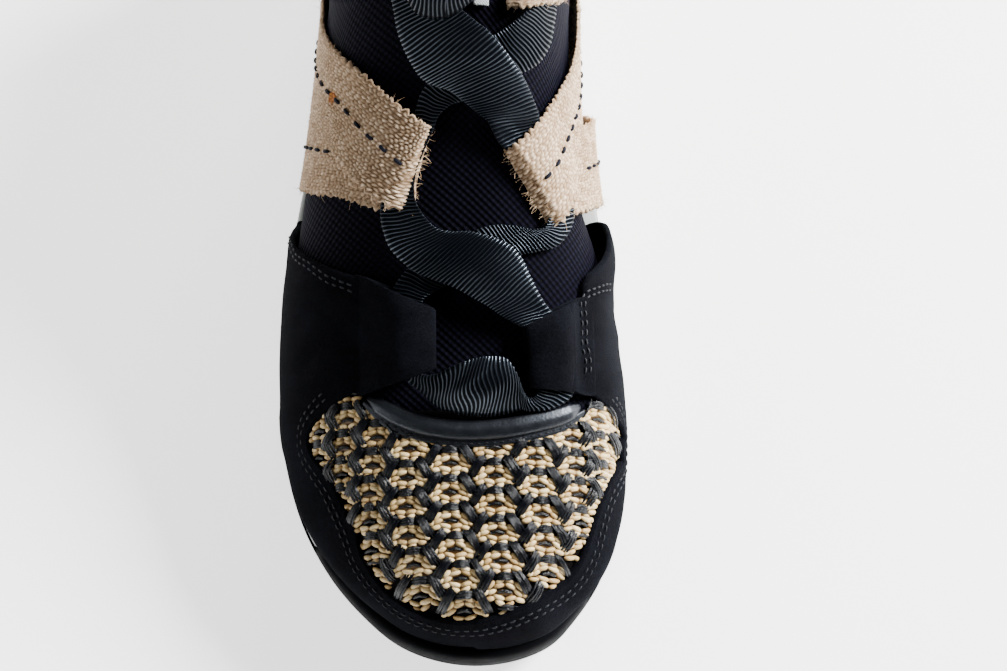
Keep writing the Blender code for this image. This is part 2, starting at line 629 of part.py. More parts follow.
def build_midsole():
    rings = []
    for share, inset in SOLE_SIDE:
        def z_at(s, share=share):
            low = outsole_top_at(s) + GAP
            return low + share * (midsole_top_at(s) - low)
        rings.append(sole_ring(inset, z_at, TOE_BUMPER + 3 * GAP))
    return solid("midsole", *ring_slab(rings), foam)


def build_insole():
    edge = {side: lambda s, side=side: inset_at[side](s) - 0.15 for side in inset_at}
    low = sole_ring(edge, lambda s: midsole_top_at(s) + GAP)
    high = sole_ring(edge, lambda s: midsole_top_at(s) + INSOLE_THICK)
    return solid("insole", *ring_slab([low, high]), board_tan)


def build_bootie():
    tongue = turn_of(TONGUE_REACH)
    front = np.linspace(0, tongue, 21)
    back = tongue + (math.pi - tongue) * np.linspace(0, 1, 13) ** 1.3
    turns = list(front) + list(back[1:])
    points, faces = form_sheet(turns, np.linspace(0, 1, 8))
    normals = level_rim(points, normals_of(points, faces))
    shell = settled(thick(points, faces, -BOOTIE_WALL, 0.0, normals), INSOLE_THICK + GAP)
    return solid("inner_bootie", *shell, mesh_navy)


def window_outline(inset=0.0):
    """The closed outline (x, s) of the toe window in front of the piping."""
    rows = WINDOW[::-1]
    lateral = [(x + inset, s) for s, x, _ in rows[:-1]]
    front = [(rows[-1][1], rows[-1][0] + inset)]
    medial = [(x - inset, s) for s, _, x in WINDOW[1:]]
    return lateral + front + medial


def piping_front(x):
    px, ps, width = rows_of(PIPING)
    s_at = curve(px, ps)
    slope = float(s_at(x + 0.5) - s_at(x - 0.5))
    return float(s_at(x) - curve(px, width)(x) / 2 * math.hypot(1, slope))


def wing_lift(points):
    """Extra offset of the mudguard's rear ends from the form."""
    lift = []
    for x, s, z in points:
        side = LATERAL if x < spine_at(s) else MEDIAL
        along = np.clip((s - WING_START) / WING_EASE, 0, 1)
        up = np.clip((z - WING_FOOT_Z) / WING_FOOT_EASE, 0, 1)
        lift.append(WING_STAND_OFF[side] * along**2 * (3 - 2 * along) * up)
    return np.array(lift)


def build_mudguard():
    turns = np.linspace(0, turn_of(GUARD_REACH), 22)
    points, faces = form_sheet(turns, np.linspace(0, 1, 9), skirt=True)
    normals = level_rim(points, normals_of(points, faces))
    lift = wing_lift(points)
    inner, outer = MUDGUARD
    shell = settled(thick(points, faces, inner + lift, outer + lift, normals), GAP + 0.1)
    guard = solid("mudguard", *shell, suede)
    window = window_outline()
    throat = [(THROAT[LATERAL], THROAT_FRONT), (THROAT[LATERAL], LENGTH),
              (THROAT[MEDIAL], LENGTH), (THROAT[MEDIAL], THROAT_FRONT)]
    cut(guard, *prism(window + throat[::-1], 2, 0.0, 200.0))
    for side in (LATERAL, MEDIAL):
        profile = list(REAR_EDGE[side]) + [(300.0, 16.0), (300.0, 200.0), (90.0, 200.0)]
        reach = (-120.0, 0.0) if side == LATERAL else (10.0, 120.0)
        cut(guard, *prism(profile, 0, *reach))
    return guard


def strand_height(x, s):
    """Raise of the woven panel over its wall at a place."""
    pitch_x, pitch_s = BLOCK_PITCH
    across = (x - BLOCK_ORIGIN[0]) / pitch_x
    column = math.floor(across + 0.5)
    along = (s - BLOCK_ORIGIN[1]) / pitch_s + 0.5 * (column % 2)
    from_middle_x = abs(across - column) * 2
    from_middle_s = abs(along - math.floor(along + 0.5)) * 2
    edge = max(from_middle_x, from_middle_s)
    return STRAND_RAISE if edge > 0.8 else BLOCK_RAISE * (1 - edge)


def from_above(x, s):
    """The form's point under (x, s)."""
    hit = form_tree.ray_cast(Vector((x, s, 300.0)), Vector((0, 0, -1)))
    return np.array(hit[0]) if hit[0] is not None else None


def onto_form(point):
    """The form's nearest point and its smooth normal there."""
    hit, _, index, _ = form_tree.find_nearest(Vector(point))
    corners = list(fine_faces[index])
    weights = [1 / (0.05 + np.linalg.norm(fine_points[c] - np.array(hit))) for c in corners]
    normal = sum(w * form_normals[c] for w, c in zip(weights, corners))
    return np.array(hit), normal / np.linalg.norm(normal)


def used(points, faces):
    """The sheet without the points that no face uses."""
    kept = sorted({c for face in faces for c in face})
    place = {c: n for n, c in enumerate(kept)}
    return points[kept], [[place[c] for c in face] for face in faces]


def build_toe_panel():
    pitch_x, pitch_s = BLOCK_PITCH[0] / 4, BLOCK_PITCH[1] / 2
    rows = [(x, s) for s, a, b in WINDOW for x in (a, b)]
    low_x, high_x = min(x for x, _ in rows) - 4, max(x for x, _ in rows) + 4
    xs = BLOCK_ORIGIN[0] + pitch_x * np.arange(math.floor((low_x - BLOCK_ORIGIN[0]) / pitch_x),
                                               math.ceil((high_x - BLOCK_ORIGIN[0]) / pitch_x))
    ss = BLOCK_ORIGIN[1] + pitch_s * np.arange(-4, 15)
    grid = []
    for x in xs:
        column = []
        for s in ss:
            point = from_above(x, s)
            column.append((x, s, BELOW_FORM) if point is None else point)
        grid.append(column)
    points, faces = sheet(grid)
    faces = [face for face in faces if min(points[c][2] for c in face) > BELOW_FORM]
    points, faces = used(points, faces)
    normals = np.array([onto_form(point)[1] for point in points])
    raised = np.array([strand_height(x + 0.01, s + 0.01) for x, s, _ in points])
    inner, outer = PANEL
    panel = solid("toe_panel", *thick(points, faces, inner, outer + raised, normals), raffia)
    outline = window_outline(GAP)[1:-1]
    across = np.linspace(PIPING[0][0], PIPING[-1][0] - PIPING_TRIM, 21)
    rear = [(x, piping_front(x) - PIPING_LEAN) for x in across]
    cut(panel, *prism(outline + rear[::-1], 2, 25.0, 200.0), "INTERSECT")
    return panel


def swept(centres, sides, profile):
    """A solid swept through stations. Each has a centre, an across and an up vector, and profile is
    a closed row of (across, up) pairs."""
    count = len(profile)
    points = []
    for centre, (across, up) in zip(centres, sides):
        points += [centre + a * across + u * up for a, u in profile]
    faces = []
    for i in range(len(centres) - 1):
        for j in range(count):
            k = (j + 1) % count
            faces.append((i * count + j, i * count + k, (i + 1) * count + k, (i + 1) * count + j))
    last = (len(centres) - 1) * count
    faces += [tuple(range(count))[::-1], tuple(last + j for j in range(count))]
    return oriented(np.array(points), faces)


def build_piping():
    px, ps, width = rows_of(PIPING)
    s_at, width_at = curve(px, ps), curve(px, width)
    centres, sides = [], []
    for x in np.linspace(px[0] + PIPING_TRIM, px[-1] - PIPING_TRIM, 17):
        spot, normal = onto_form(from_above(x, float(s_at(x))))
        ahead = from_above(x + 0.5, float(s_at(x + 0.5)))
        behind = from_above(x - 0.5, float(s_at(x - 0.5)))
        along = ahead - behind
        across = np.cross(along, normal)
        half = float(width_at(x)) / 2
        height = PIPING_FLATNESS * half
        centres.append(spot + normal * (OVERLAY_LIFT + height))
        sides.append((across / np.linalg.norm(across) * half, normal * height))
    angles = np.linspace(0, 2 * math.pi, 9)[:-1]
    profile = [(math.cos(a), math.sin(a)) for a in angles]
    return solid("throat_piping", *swept(centres, sides, profile), leather)


def build_tunnel(side, name):
    (x0, s0), (x1, s1), slant = TUNNELS[side]
    angles = np.linspace(0, 2 * math.pi, 13)[:-1]
    rings = []
    for share in np.linspace(0, 1, 5):
        x, s = x0 + share * (x1 - x0), s0 + share * (s1 - s0)
        middle, normal = onto_form(from_above(x, s))
        across = np.cross((x1 - x0, s1 - s0, 0.0), normal)
        across /= np.linalg.norm(across)
        across *= np.sign(across[0])
        for wall in (0.0, TUNNEL_WALL):
            half = TUNNEL_HALF_WIDTH[side] - wall
            height = TUNNEL_HALF_HEIGHT - wall
            ring = []
            for angle in angles:
                sideways = half * np.sign(math.cos(angle)) * abs(math.cos(angle)) ** 0.8
                shear = slant * share * sideways / half
                base = from_above(x + sideways * across[0], s + shear)
                spot, up = onto_form(base)
                lift = OVERLAY_LIFT + TUNNEL_HALF_HEIGHT + height * math.sin(angle)
                ring.append(spot + up * lift)
            rings.append(ring)
    outer, inner = rings[0::2], rings[1::2]
    loops = outer + inner[::-1]
    count = len(angles)
    points = np.array(loops).reshape(-1, 3)
    total = len(loops)
    faces = []
    for i in range(total):
        k = (i + 1) % total
        for j in range(count):
            n = (j + 1) % count
            faces.append((i * count + j, i * count + n, k * count + n, k * count + j))
    return solid(name, *oriented(points, faces), suede)


def smooth_path(rows, count, easing=1.0):
    """Points along a smooth curve through the rows, closer at its start where easing is over 1."""
    rows = np.array(rows, float)
    chord = np.concatenate([[0], np.cumsum(np.linalg.norm(np.diff(rows[:, :3], axis=0), axis=1))])
    where = chord[-1] * np.linspace(0, 1, count) ** easing
    slopes = np.gradient(rows, chord, axis=0)
    return np.stack([curve(chord, rows[:, k], slopes[:, k])(where) for k in range(rows.shape[1])], axis=1)


def strap_sheet(rows, count, width, easing=1.0, across_count=5):
    """The middle layer of a strap laid on the form, with its normals."""
    path = smooth_path(rows, count, easing)
    spots, normals = zip(*[onto_form(row[:3]) for row in path])
    spots, normals = np.array(spots), np.array(normals)
    along = np.gradient(spots, axis=0)
    grid = []
    for spot, normal, direction, lift in zip(spots, normals, along, path[:, 3]):
        across = np.cross(direction, normal)
        across *= width / 2 / np.linalg.norm(across)
        column = []
        for share in np.linspace(-1, 1, across_count):
            place, place_normal = onto_form(spot + share * across)
            column.append(place + place_normal * lift)
        grid.append(column)
    return sheet(grid)


def build_strap(name):
    over, under = STRAPS[name]
    half = WEBBING_THICK / 2
    upper = strap_sheet(over, 17, WEBBING_WIDTH, LOOP_EASING)
    strap = solid("strap_" + name, *oriented(*thick(*upper, -half, half)), jute)
    lower = strap_sheet(under, len(under) + 4, UNDER_WIDTH)
    cut(strap, *oriented(*thick(*lower, -half, half)), "UNION", "MANIFOLD")
    return strap


def volume_of(points, faces):
    return sum(np.dot(points[f[0]], np.cross(points[f[n]], points[f[n + 1]]))
               for f in faces for n in range(1, len(f) - 1))


def oriented(points, faces):
    """The shape with its faces turned outwards."""
    return points, faces if volume_of(points, faces) > 0 else [face[::-1] for face in faces]


def ribbon_sheet(rows, across_count=3):
    grid = []
    for ax, a_s, a_lift, bx, b_s, b_lift, bow in rows:
        ends = []
        for x, s, lift in ((ax, a_s, a_lift), (bx, b_s, b_lift)):
            spot, normal = onto_form(from_above(x, min(s, TONGUE_REACH)))
            ends.append(spot + normal * lift + np.array((0.0, max(s - TONGUE_REACH, 0.0), 0.0)))
        middle, normal = onto_form((ends[0] + ends[1]) / 2)
        column = []
        for share in np.linspace(0, 1, across_count):
            place = ends[0] + share * (ends[1] - ends[0])
            column.append(place + normal * bow * 4 * share * (1 - share))
        grid.append(column)
    return sheet(grid)


def build_lace():
    half = RIBBON_THICK / 2
    medial = oriented(*thick(*ribbon_sheet(LACE_FROM_MEDIAL_TUNNEL), -half, half))
    lateral = oriented(*thick(*ribbon_sheet(LACE_FROM_LATERAL_TUNNEL), -half, half))
    lace = solid("ribbon_lace", *medial, ribbon)
    cut(lace, *lateral, "UNION", "MANIFOLD")
    return lace


def build_tongue_tab():
    """A bare woven tab on the front of the tongue."""
    grid = []
    half = TAB_THICK / 2
    for x in np.linspace(*TAB_ACROSS, 4):
        column = []
        for s in np.linspace(*TAB_ALONG, 5):
            spot, normal = onto_form(from_above(x, s))
            column.append(spot + normal * (GAP + half))
        grid.append(column)
    return solid("tongue_tab", *oriented(*thick(*sheet(grid), -half, half)), tab_grey)


for old in list(bpy.data.objects):
    bpy.data.objects.remove(old, do_unlink=True)
shoe = bpy.data.objects.new("sandal", None)
bpy.context.scene.collection.objects.link(shoe)

edge_x = closed_outline()
edge_rows = [outline_point(turn)[0] for turn in SOLE_TURNS]
middle_x = (min(edge_rows) + max(edge_rows)) / 2
level_s, ground_z, outsole_z, midsole_z = rows_of(SOLE_LEVELS)
ground_at = curve(level_s, ground_z)
outsole_top_at = curve(level_s, outsole_z)
midsole_top_at = curve(level_s, midsole_z)
spine_at = curve(*rows_of(SPINE))
inset_s, inset_lateral, inset_medial = rows_of(FEATHER_INSET)
inset_at = {LATERAL: curve(inset_s, inset_lateral), MEDIAL: curve(inset_s, inset_medial)}
bulge_s, bulge_lateral, bulge_medial = rows_of(WALL_BULGE)
bulge_at = {LATERAL: curve(bulge_s, bulge_lateral), MEDIAL: curve(bulge_s, bulge_medial)}
form_s, top_s, top_half, top_z, wall_straight = rows_of(FORM_SECTIONS)
form_turn = turn_of(form_s)
top_s_at = curve(form_turn, top_s)
top_half_at = curve(form_turn, top_half)
top_z_at = curve(form_turn, top_z)
straight_at = curve(form_turn, wall_straight)
suede = material("suede_black", (0.012, 0.012, 0.016), 0.9)
mesh_navy = material("mesh_navy", (0.018, 0.018, 0.045), 0.85)
rubber = material("rubber_black", (0.015, 0.016, 0.018), 0.5)
foam = material("foam_grey", (0.36, 0.38, 0.37), 0.7)
board_tan = material("board_tan", (0.42, 0.3, 0.18), 0.85)
fine_turns = np.linspace(0, math.pi, 121)
fine_points, fine_faces = form_sheet(fine_turns, np.linspace(0, 1, 33))
form_tree = BVHTree.FromPolygons([Vector(p) for p in fine_points], [list(f) for f in fine_faces])
form_normals = normals_of(fine_points, fine_faces)
raffia = material("raffia_natural", (0.62, 0.46, 0.24), 0.7)
leather = material("leather_black", (0.02, 0.022, 0.03), 0.35)
jute = material("jute_webbing", (0.55, 0.4, 0.25), 0.9)
ribbon = material("ribbon_black", (0.02, 0.024, 0.032), 0.5)
tab_grey = material("tab_grey", (0.55, 0.57, 0.57), 0.8)

build_outsole()
build_midsole()
build_insole()
build_bootie()
build_mudguard()
build_toe_panel()
build_piping()
build_tunnel(LATERAL, "lace_tunnel_lateral")
build_tunnel(MEDIAL, "lace_tunnel_medial")
for strap_name in STRAPS:
    build_strap(strap_name)
build_lace()
build_tongue_tab()
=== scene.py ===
"""Sport sandal, right shoe, dressed for its render: mesh bootie, suede mudguard, woven raffia toe
panel, jute straps and a ribbed ribbon lace on a lugged sole. Sizes are in millimetres until a mesh is
made. s runs from the toe tip to the heel, x to the inner (medial) side, z up."""
import math

import bpy
import numpy as np
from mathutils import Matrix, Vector
from mathutils.bvhtree import BVHTree


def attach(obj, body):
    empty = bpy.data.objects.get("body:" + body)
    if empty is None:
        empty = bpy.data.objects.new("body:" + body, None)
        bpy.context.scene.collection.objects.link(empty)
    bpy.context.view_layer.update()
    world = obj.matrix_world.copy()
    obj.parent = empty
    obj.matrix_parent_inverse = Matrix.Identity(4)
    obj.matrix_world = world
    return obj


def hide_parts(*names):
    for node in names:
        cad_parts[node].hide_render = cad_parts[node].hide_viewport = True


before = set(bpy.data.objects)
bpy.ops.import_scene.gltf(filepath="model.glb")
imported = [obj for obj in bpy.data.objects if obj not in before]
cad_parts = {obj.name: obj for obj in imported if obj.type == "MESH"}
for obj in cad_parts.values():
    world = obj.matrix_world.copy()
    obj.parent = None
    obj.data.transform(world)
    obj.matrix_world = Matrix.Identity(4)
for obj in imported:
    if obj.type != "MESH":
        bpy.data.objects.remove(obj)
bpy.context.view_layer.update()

rng = np.random.default_rng(7)

MM = 0.001
LENGTH = 268.0
GAP = 0.3
WELD_PLACES = 3  # decimals within which points are one
RIM_STEPS = 3  # rings of points round a shell's rim
LATERAL, MEDIAL = -1, 1
SOLE_OUTLINE = (  # s, lateral edge x, medial edge x
    (0.0, 6.0, 6.0), (5.0, -14.5, 26.0), (14.0, -26.0, 35.0), (27.0, -37.0, 43.0),
    (44.0, -46.0, 48.5), (63.0, -51.0, 50.5), (85.0, -52.2, 49.5), (108.0, -51.5, 46.8),
    (130.0, -48.5, 43.3), (150.0, -45.0, 40.0), (175.0, -41.0, 37.0), (200.0, -38.0, 35.5),
    (225.0, -36.5, 34.5), (245.0, -32.5, 30.5), (260.0, -21.5, 19.5), (268.0, -1.0, -1.0),
)
SOLE_LEVELS = (  # s, ground side z, top of the outsole z, top of the midsole z
    (0.0, 9.5, 14.0, 19.5), (12.0, 5.6, 10.2, 17.5), (28.0, 2.4, 7.2, 16.2), (45.0, 0.4, 5.4, 15.6),
    (58.0, 0.0, 5.0, 15.6), (98.0, 0.0, 5.0, 17.5), (125.0, 1.4, 6.4, 20.6), (155.0, 1.8, 6.8, 24.6),
    (182.0, 0.0, 5.0, 27.4), (252.0, 0.0, 5.0, 30.0), (262.0, 1.6, 6.2, 30.6), (268.0, 3.4, 7.6, 31.0),
)
INSOLE_THICK = 2.5
FORM_SECTIONS = (  # feather s, top s, top half width, top z, wall straightness
    (0.0, 27.0, 0.0, 43.0, 0.0), (12.0, 31.0, 0.0, 44.5, 0.0), (27.0, 41.0, 0.0, 47.0, 0.0),
    (44.0, 52.0, 0.0, 50.0, 0.0), (63.0, 66.0, 0.0, 54.5, 0.0), (85.0, 86.0, 0.0, 62.0, 0.0),
    (108.0, 109.0, 0.0, 71.5, 0.0), (130.0, 130.5, 0.0, 82.0, 0.0), (150.0, 151.0, 0.0, 95.0, 0.0),
    (163.0, 166.0, 0.0, 108.0, 0.05), (173.0, 177.5, 0.0, 120.0, 0.12),
    (181.0, 187.0, 0.0, 130.5, 0.25), (187.0, 191.0, 13.0, 129.0, 0.4),
    (194.0, 198.0, 22.5, 119.0, 0.62), (204.0, 208.0, 28.5, 106.0, 0.85),
    (220.0, 222.0, 30.0, 97.0, 1.0), (240.0, 239.0, 27.0, 95.0, 1.0), (254.0, 251.5, 19.5, 98.5, 1.0),
    (263.0, 257.5, 11.0, 102.0, 1.0), (268.0, 260.0, 0.0, 103.0, 1.0),
)
SPINE = (  # s, x of the ridge of the foot
    (0.0, 6.0), (30.0, 6.5), (60.0, 7.0), (97.0, 6.0), (135.0, 3.5), (170.0, 1.0), (200.0, -1.0),
    (268.0, -1.0),
)
FEATHER_INSET = (  # s, the form's foot inside the lateral and the medial edge of the sole
    (0.0, 8.0, 8.0), (20.0, 7.4, 7.4), (48.0, 5.8, 5.6), (112.0, 5.2, 5.4), (132.0, 4.8, 8.0),
    (160.0, 4.6, 7.0), (200.0, 4.6, 5.2), (268.0, 5.2, 5.2),
)
WALL_BULGE = (  # s, how far the lateral and the medial wall swell past their foot
    (0.0, 1.2, 1.2), (40.0, 2.2, 2.2), (100.0, 2.6, 2.6), (140.0, 2.0, 2.4), (185.0, 2.8, 3.6),
    (225.0, 3.2, 3.6), (268.0, 3.2, 3.2),
)
SECTION_SQUARENESS = 0.86


# The form that the shoe is made on.
def rows_of(table):
    return np.array(table, float).T


def slopes_of(x, y):
    """Slopes at the knots that keep a curve through them from overshooting."""
    step = np.diff(y) / np.diff(x)
    slopes = np.zeros(len(x))
    for i in range(1, len(x) - 1):
        if step[i - 1] * step[i] > 0:
            slopes[i] = 2 * step[i - 1] * step[i] / (step[i - 1] + step[i])
    slopes[0], slopes[-1] = step[0], step[-1]
    return slopes


def curve(x, y, slopes=None):
    """A smooth function through the knots (x, y)."""
    x, y = np.asarray(x, float), np.asarray(y, float)
    slopes = slopes_of(x, y) if slopes is None else slopes

    def at(where):
        where = np.clip(where, x[0], x[-1])
        i = np.clip(np.searchsorted(x, where, side="right") - 1, 0, len(x) - 2)
        width = x[i + 1] - x[i]
        t = (where - x[i]) / width
        start = (1 + 2 * t) * (1 - t) ** 2 * y[i] + t * (1 - t) ** 2 * width * slopes[i]
        end = t * t * (3 - 2 * t) * y[i + 1] - t * t * (1 - t) * width * slopes[i + 1]
        return start + end

    return at


def length_along(path):
    """The length so far at each point of a path."""
    return np.concatenate([[0], np.cumsum(np.linalg.norm(np.diff(path, axis=0), axis=1))])


def path_at(where, chord, path):
    """A path's points at lengths along it."""
    return np.stack([np.interp(where, chord, path[:, k]) for k in range(3)], -1)


def smooth_rows(rows, chord, where):
    """Rows at lengths along them, with a smooth curve through each column."""
    slopes = np.gradient(rows, chord, axis=0)
    return np.stack([curve(chord, rows[:, k], slopes[:, k])(where) for k in range(rows.shape[1])], 1)


def spline(rows, count=None, step=None):
    """Rows interpolated smoothly along their length, and the length so far at each."""
    rows = np.asarray(rows, float)
    chord = length_along(rows[:, :3])
    if count is None:
        count = max(int(round(chord[-1] / step)), 2) + 1
    where = chord[-1] * np.linspace(0, 1, count)
    return smooth_rows(rows, chord, where), where


def flat_spline(plan, **spacing):
    """A smooth path through points of two coordinates, with a third of 0."""
    return spline(np.column_stack([plan, np.zeros(len(plan))]), **spacing)[0]


def turn_of(s):
    return np.arccos(np.clip(1 - 2 * np.asarray(s, float) / LENGTH, -1, 1))


def s_of(turn):
    return LENGTH * (1 - np.cos(turn)) / 2


def closed_outline():
    """x of the sole's edge for a turn from 0 at the toe, past the heel at pi, to 2 pi."""
    s, lateral, medial = rows_of(SOLE_OUTLINE)
    turn = turn_of(s)
    around = np.concatenate([turn, 2 * math.pi - turn[-2::-1]])
    x = np.concatenate([lateral, medial[-2::-1]])
    before, after = np.roll(x[:-1], 1), np.roll(x[:-1], -1)
    slopes = (after - before) / (np.roll(np.diff(around), 1) + np.diff(around))
    return curve(around, x, np.append(slopes, slopes[0]))


edge_x = closed_outline()
level_s, ground_z, outsole_z, midsole_z = rows_of(SOLE_LEVELS)
ground_at = curve(level_s, ground_z)
outsole_top_at = curve(level_s, outsole_z)
midsole_top_at = curve(level_s, midsole_z)
spine_at = curve(*rows_of(SPINE))
inset_s, inset_lateral, inset_medial = rows_of(FEATHER_INSET)
inset_at = {LATERAL: curve(inset_s, inset_lateral), MEDIAL: curve(inset_s, inset_medial)}
bulge_s, bulge_lateral, bulge_medial = rows_of(WALL_BULGE)
bulge_at = {LATERAL: curve(bulge_s, bulge_lateral), MEDIAL: curve(bulge_s, bulge_medial)}
form_s, top_s, top_half, top_z, wall_straight = rows_of(FORM_SECTIONS)
form_turn = turn_of(form_s)
top_s_at, top_half_at = curve(form_turn, top_s), curve(form_turn, top_half)
top_z_at, straight_at = curve(form_turn, top_z), curve(form_turn, wall_straight)


def outline_point(turn, inset=0.0):
    """(x, s) of the sole's edge at each turn, moved inwards."""
    turn = np.asarray(turn, float)
    step = 1e-3
    around = 2 * math.pi
    ahead = np.stack([edge_x((turn + step) % around), s_of(turn + step)], -1)
    behind = np.stack([edge_x((turn - step) % around), s_of(turn - step)], -1)
    along = ahead - behind
    along /= np.linalg.norm(along, axis=-1, keepdims=True)
    inward = np.stack([along[..., 1], -along[..., 0]], -1)
    return np.stack([edge_x(turn % around), s_of(turn)], -1) + np.asarray(inset)[..., None] * inward


def sided(turn, table):
    """A value by side and s, for turns all round the shoe."""
    half = np.where(turn <= math.pi, turn, 2 * math.pi - turn)
    s = s_of(half)
    return np.where(turn <= math.pi, table[LATERAL](s), table[MEDIAL](s))


def form_points(turn, rise):
    """Points (x, s, z) of the form. turn goes round from the toe by the lateral side, and rise from
    0 at the sole to 1 at the ridge or the collar."""
    turn, rise = np.broadcast_arrays(np.asarray(turn, float), np.asarray(rise, float))
    half = np.where(turn <= math.pi, turn, 2 * math.pi - turn)
    side = np.where(turn <= math.pi, LATERAL, MEDIAL)
    foot = outline_point(turn, sided(turn, inset_at))
    foot_z = midsole_top_at(foot[..., 1]) + INSOLE_THICK + GAP
    s_top = top_s_at(half)
    top = np.stack([spine_at(s_top) + side * top_half_at(half), s_top], -1)
    straight = straight_at(half)
    angle = rise * math.pi / 2
    cosine = np.clip(np.cos(angle), 0, 1)
    across = (1 - straight) * (1 - cosine ** SECTION_SQUARENESS) + straight * rise**2
    up = (1 - straight) * np.sin(angle) ** SECTION_SQUARENESS + straight * rise
    span = top - foot
    reach = np.maximum(np.linalg.norm(span, axis=-1), 1.0)
    swell = sided(turn, bulge_at) * np.sin(math.pi * rise**0.6)
    plan = foot + across[..., None] * span - (swell / reach)[..., None] * span
    return np.stack([plan[..., 0], plan[..., 1], foot_z + up * (top_z_at(half) - foot_z)], -1)


SOLE_TURNS = np.linspace(0, 2 * math.pi, 65)[:-1]
middle_x = (edge_x(SOLE_TURNS).min() + edge_x(SOLE_TURNS).max()) / 2


def to_world(points):
    points = np.asarray(points, float)
    return (points - np.array((middle_x, LENGTH / 2, 0.0))) * MM


# Mesh helpers.
def grid_faces(rows, columns, wrap_rows=False, wrap_columns=False):
    i = np.arange(rows if wrap_rows else rows - 1)
    j = np.arange(columns if wrap_columns else columns - 1)
    i, j = [a.ravel() for a in np.meshgrid(i, j, indexing="ij")]
    k, n = (i + 1) % rows, (j + 1) % columns
    return np.stack([i * columns + j, k * columns + j, k * columns + n, i * columns + n], 1)


def welded(points, faces):
    """Points that coincide made one, and faces that collapse to triangles or nothing tidied."""
    _, first, index = np.unique(np.round(points, WELD_PLACES), axis=0, return_index=True,
                                return_inverse=True)
    index = index.reshape(-1)
    kept = []
    for face in faces:
        corners = [int(c) for c in index[list(face)]]
        corners = [c for n, c in enumerate(corners) if c != corners[n - 1]]
        if len(set(corners)) == len(corners) and len(corners) > 2:
            kept.append(corners)
    return points[first], kept


def normals_of(points, faces):
    """Smooth normals at the points of a mesh of quads and triangles."""
    normals = np.zeros_like(points)
    quads = np.array([f if len(f) == 4 else list(f) + [f[-1]] for f in faces])
    a, b, c, d = [points[quads[:, k]] for k in range(4)]
    area = np.cross(c - a, d - b)
    for k in range(4):
        np.add.at(normals, quads[:, k], area)
    length = np.linalg.norm(normals, axis=1, keepdims=True)
    return normals / np.maximum(length, 1e-12)


def volume_of(points, faces):
    """Six times the volume inside a closed mesh."""
    fans = [(f[0], f[n], f[n + 1]) for f in faces for n in range(1, len(f) - 1)]
    a, b, c = [points[np.array(fans)[:, k]] for k in range(3)]
    return np.einsum("ij,ij->i", a, np.cross(b, c)).sum()


def thick(points, faces, inner, outer, normals, rounding):
    """A closed shell between two offsets from an open sheet, with its rim rounded outwards."""
    count = len(points)
    inner = np.broadcast_to(np.asarray(inner, float).reshape(-1, 1), (count, 1))
    outer = np.broadcast_to(np.asarray(outer, float).reshape(-1, 1), (count, 1))
    shell = [points + normals * outer, points + normals * inner]
    made = [tuple(face) for face in faces] + [tuple(count + c for c in reversed(face)) for face in faces]
    edges = set()
    for face in faces:
        for n, corner in enumerate(face):
            edges.add((corner, face[(n + 1) % len(face)]))
    rim = [(a, b) for a, b in edges if (b, a) not in edges]
    outward = np.zeros_like(points)
    for a, b in rim:
        away = np.cross(points[b] - points[a], normals[a])
        outward[a] += away
        outward[b] += away
    on_rim = sorted({c for edge in rim for c in edge})
    place = {c: n for n, c in enumerate(on_rim)}
    outward = outward[on_rim] / np.linalg.norm(outward[on_rim], axis=1, keepdims=True)
    base = 2 * count
    for step in range(1, RIM_STEPS + 1):
        share = step / (RIM_STEPS + 1)
        between = (1 - share) * shell[0][on_rim] + share * shell[1][on_rim]
        shell.append(between + outward * rounding * math.sin(math.pi * share) ** 0.7)
    for a, b in rim:
        ladder_a, ladder_b = ([c] + [base + k * len(on_rim) + place[c] for k in range(RIM_STEPS)]
                              + [count + c] for c in (a, b))
        for k in range(RIM_STEPS + 1):
            made.append((ladder_b[k], ladder_a[k], ladder_a[k + 1], ladder_b[k + 1]))
    return np.concatenate(shell), made


def piece(name, points, faces, look, uv=None, tone=None, sharp=None, slot=None, node=None):
    """A visible piece that rides on the shoe. uv gives a pair, and tone a shade, for each point."""
    faces = [list(map(int, f)) for f in faces]
    if volume_of(np.asarray(points), faces) < 0:
        faces = [f[::-1] for f in faces]
    mesh = bpy.data.meshes.new(name)
    mesh.from_pydata(to_world(points).tolist(), [], faces)
    mesh.materials.append(look)
    if uv is not None:
        layer = mesh.uv_layers.new(name="mm")
        corner = np.empty(len(mesh.loops), np.int32)
        mesh.loops.foreach_get("vertex_index", corner)
        layer.data.foreach_set("uv", np.asarray(uv, np.float32)[corner].ravel())
    if tone is not None:
        shades = mesh.attributes.new("tone", "FLOAT", "POINT")
        shades.data.foreach_set("value", np.asarray(tone, np.float32))
    made = bpy.data.objects.new(name, mesh)
    bpy.context.scene.collection.objects.link(made)
    mesh.shade_smooth()
    if sharp:
        mesh.set_sharp_from_angle(angle=math.radians(sharp))
    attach(made, "root")
    if node:
        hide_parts(node)
    return made


def joined(parts):
    """Many small shapes as one mesh."""
    points, faces, base = [], [], 0
    for part_points, part_faces in parts:
        points.append(part_points)
        faces += [[int(c) + base for c in f] for f in part_faces]
        base += len(part_points)
    return np.concatenate(points), faces


# A fine mesh of the form, to lay things on.
FORM_TURNS, FORM_RISES = 241, 61


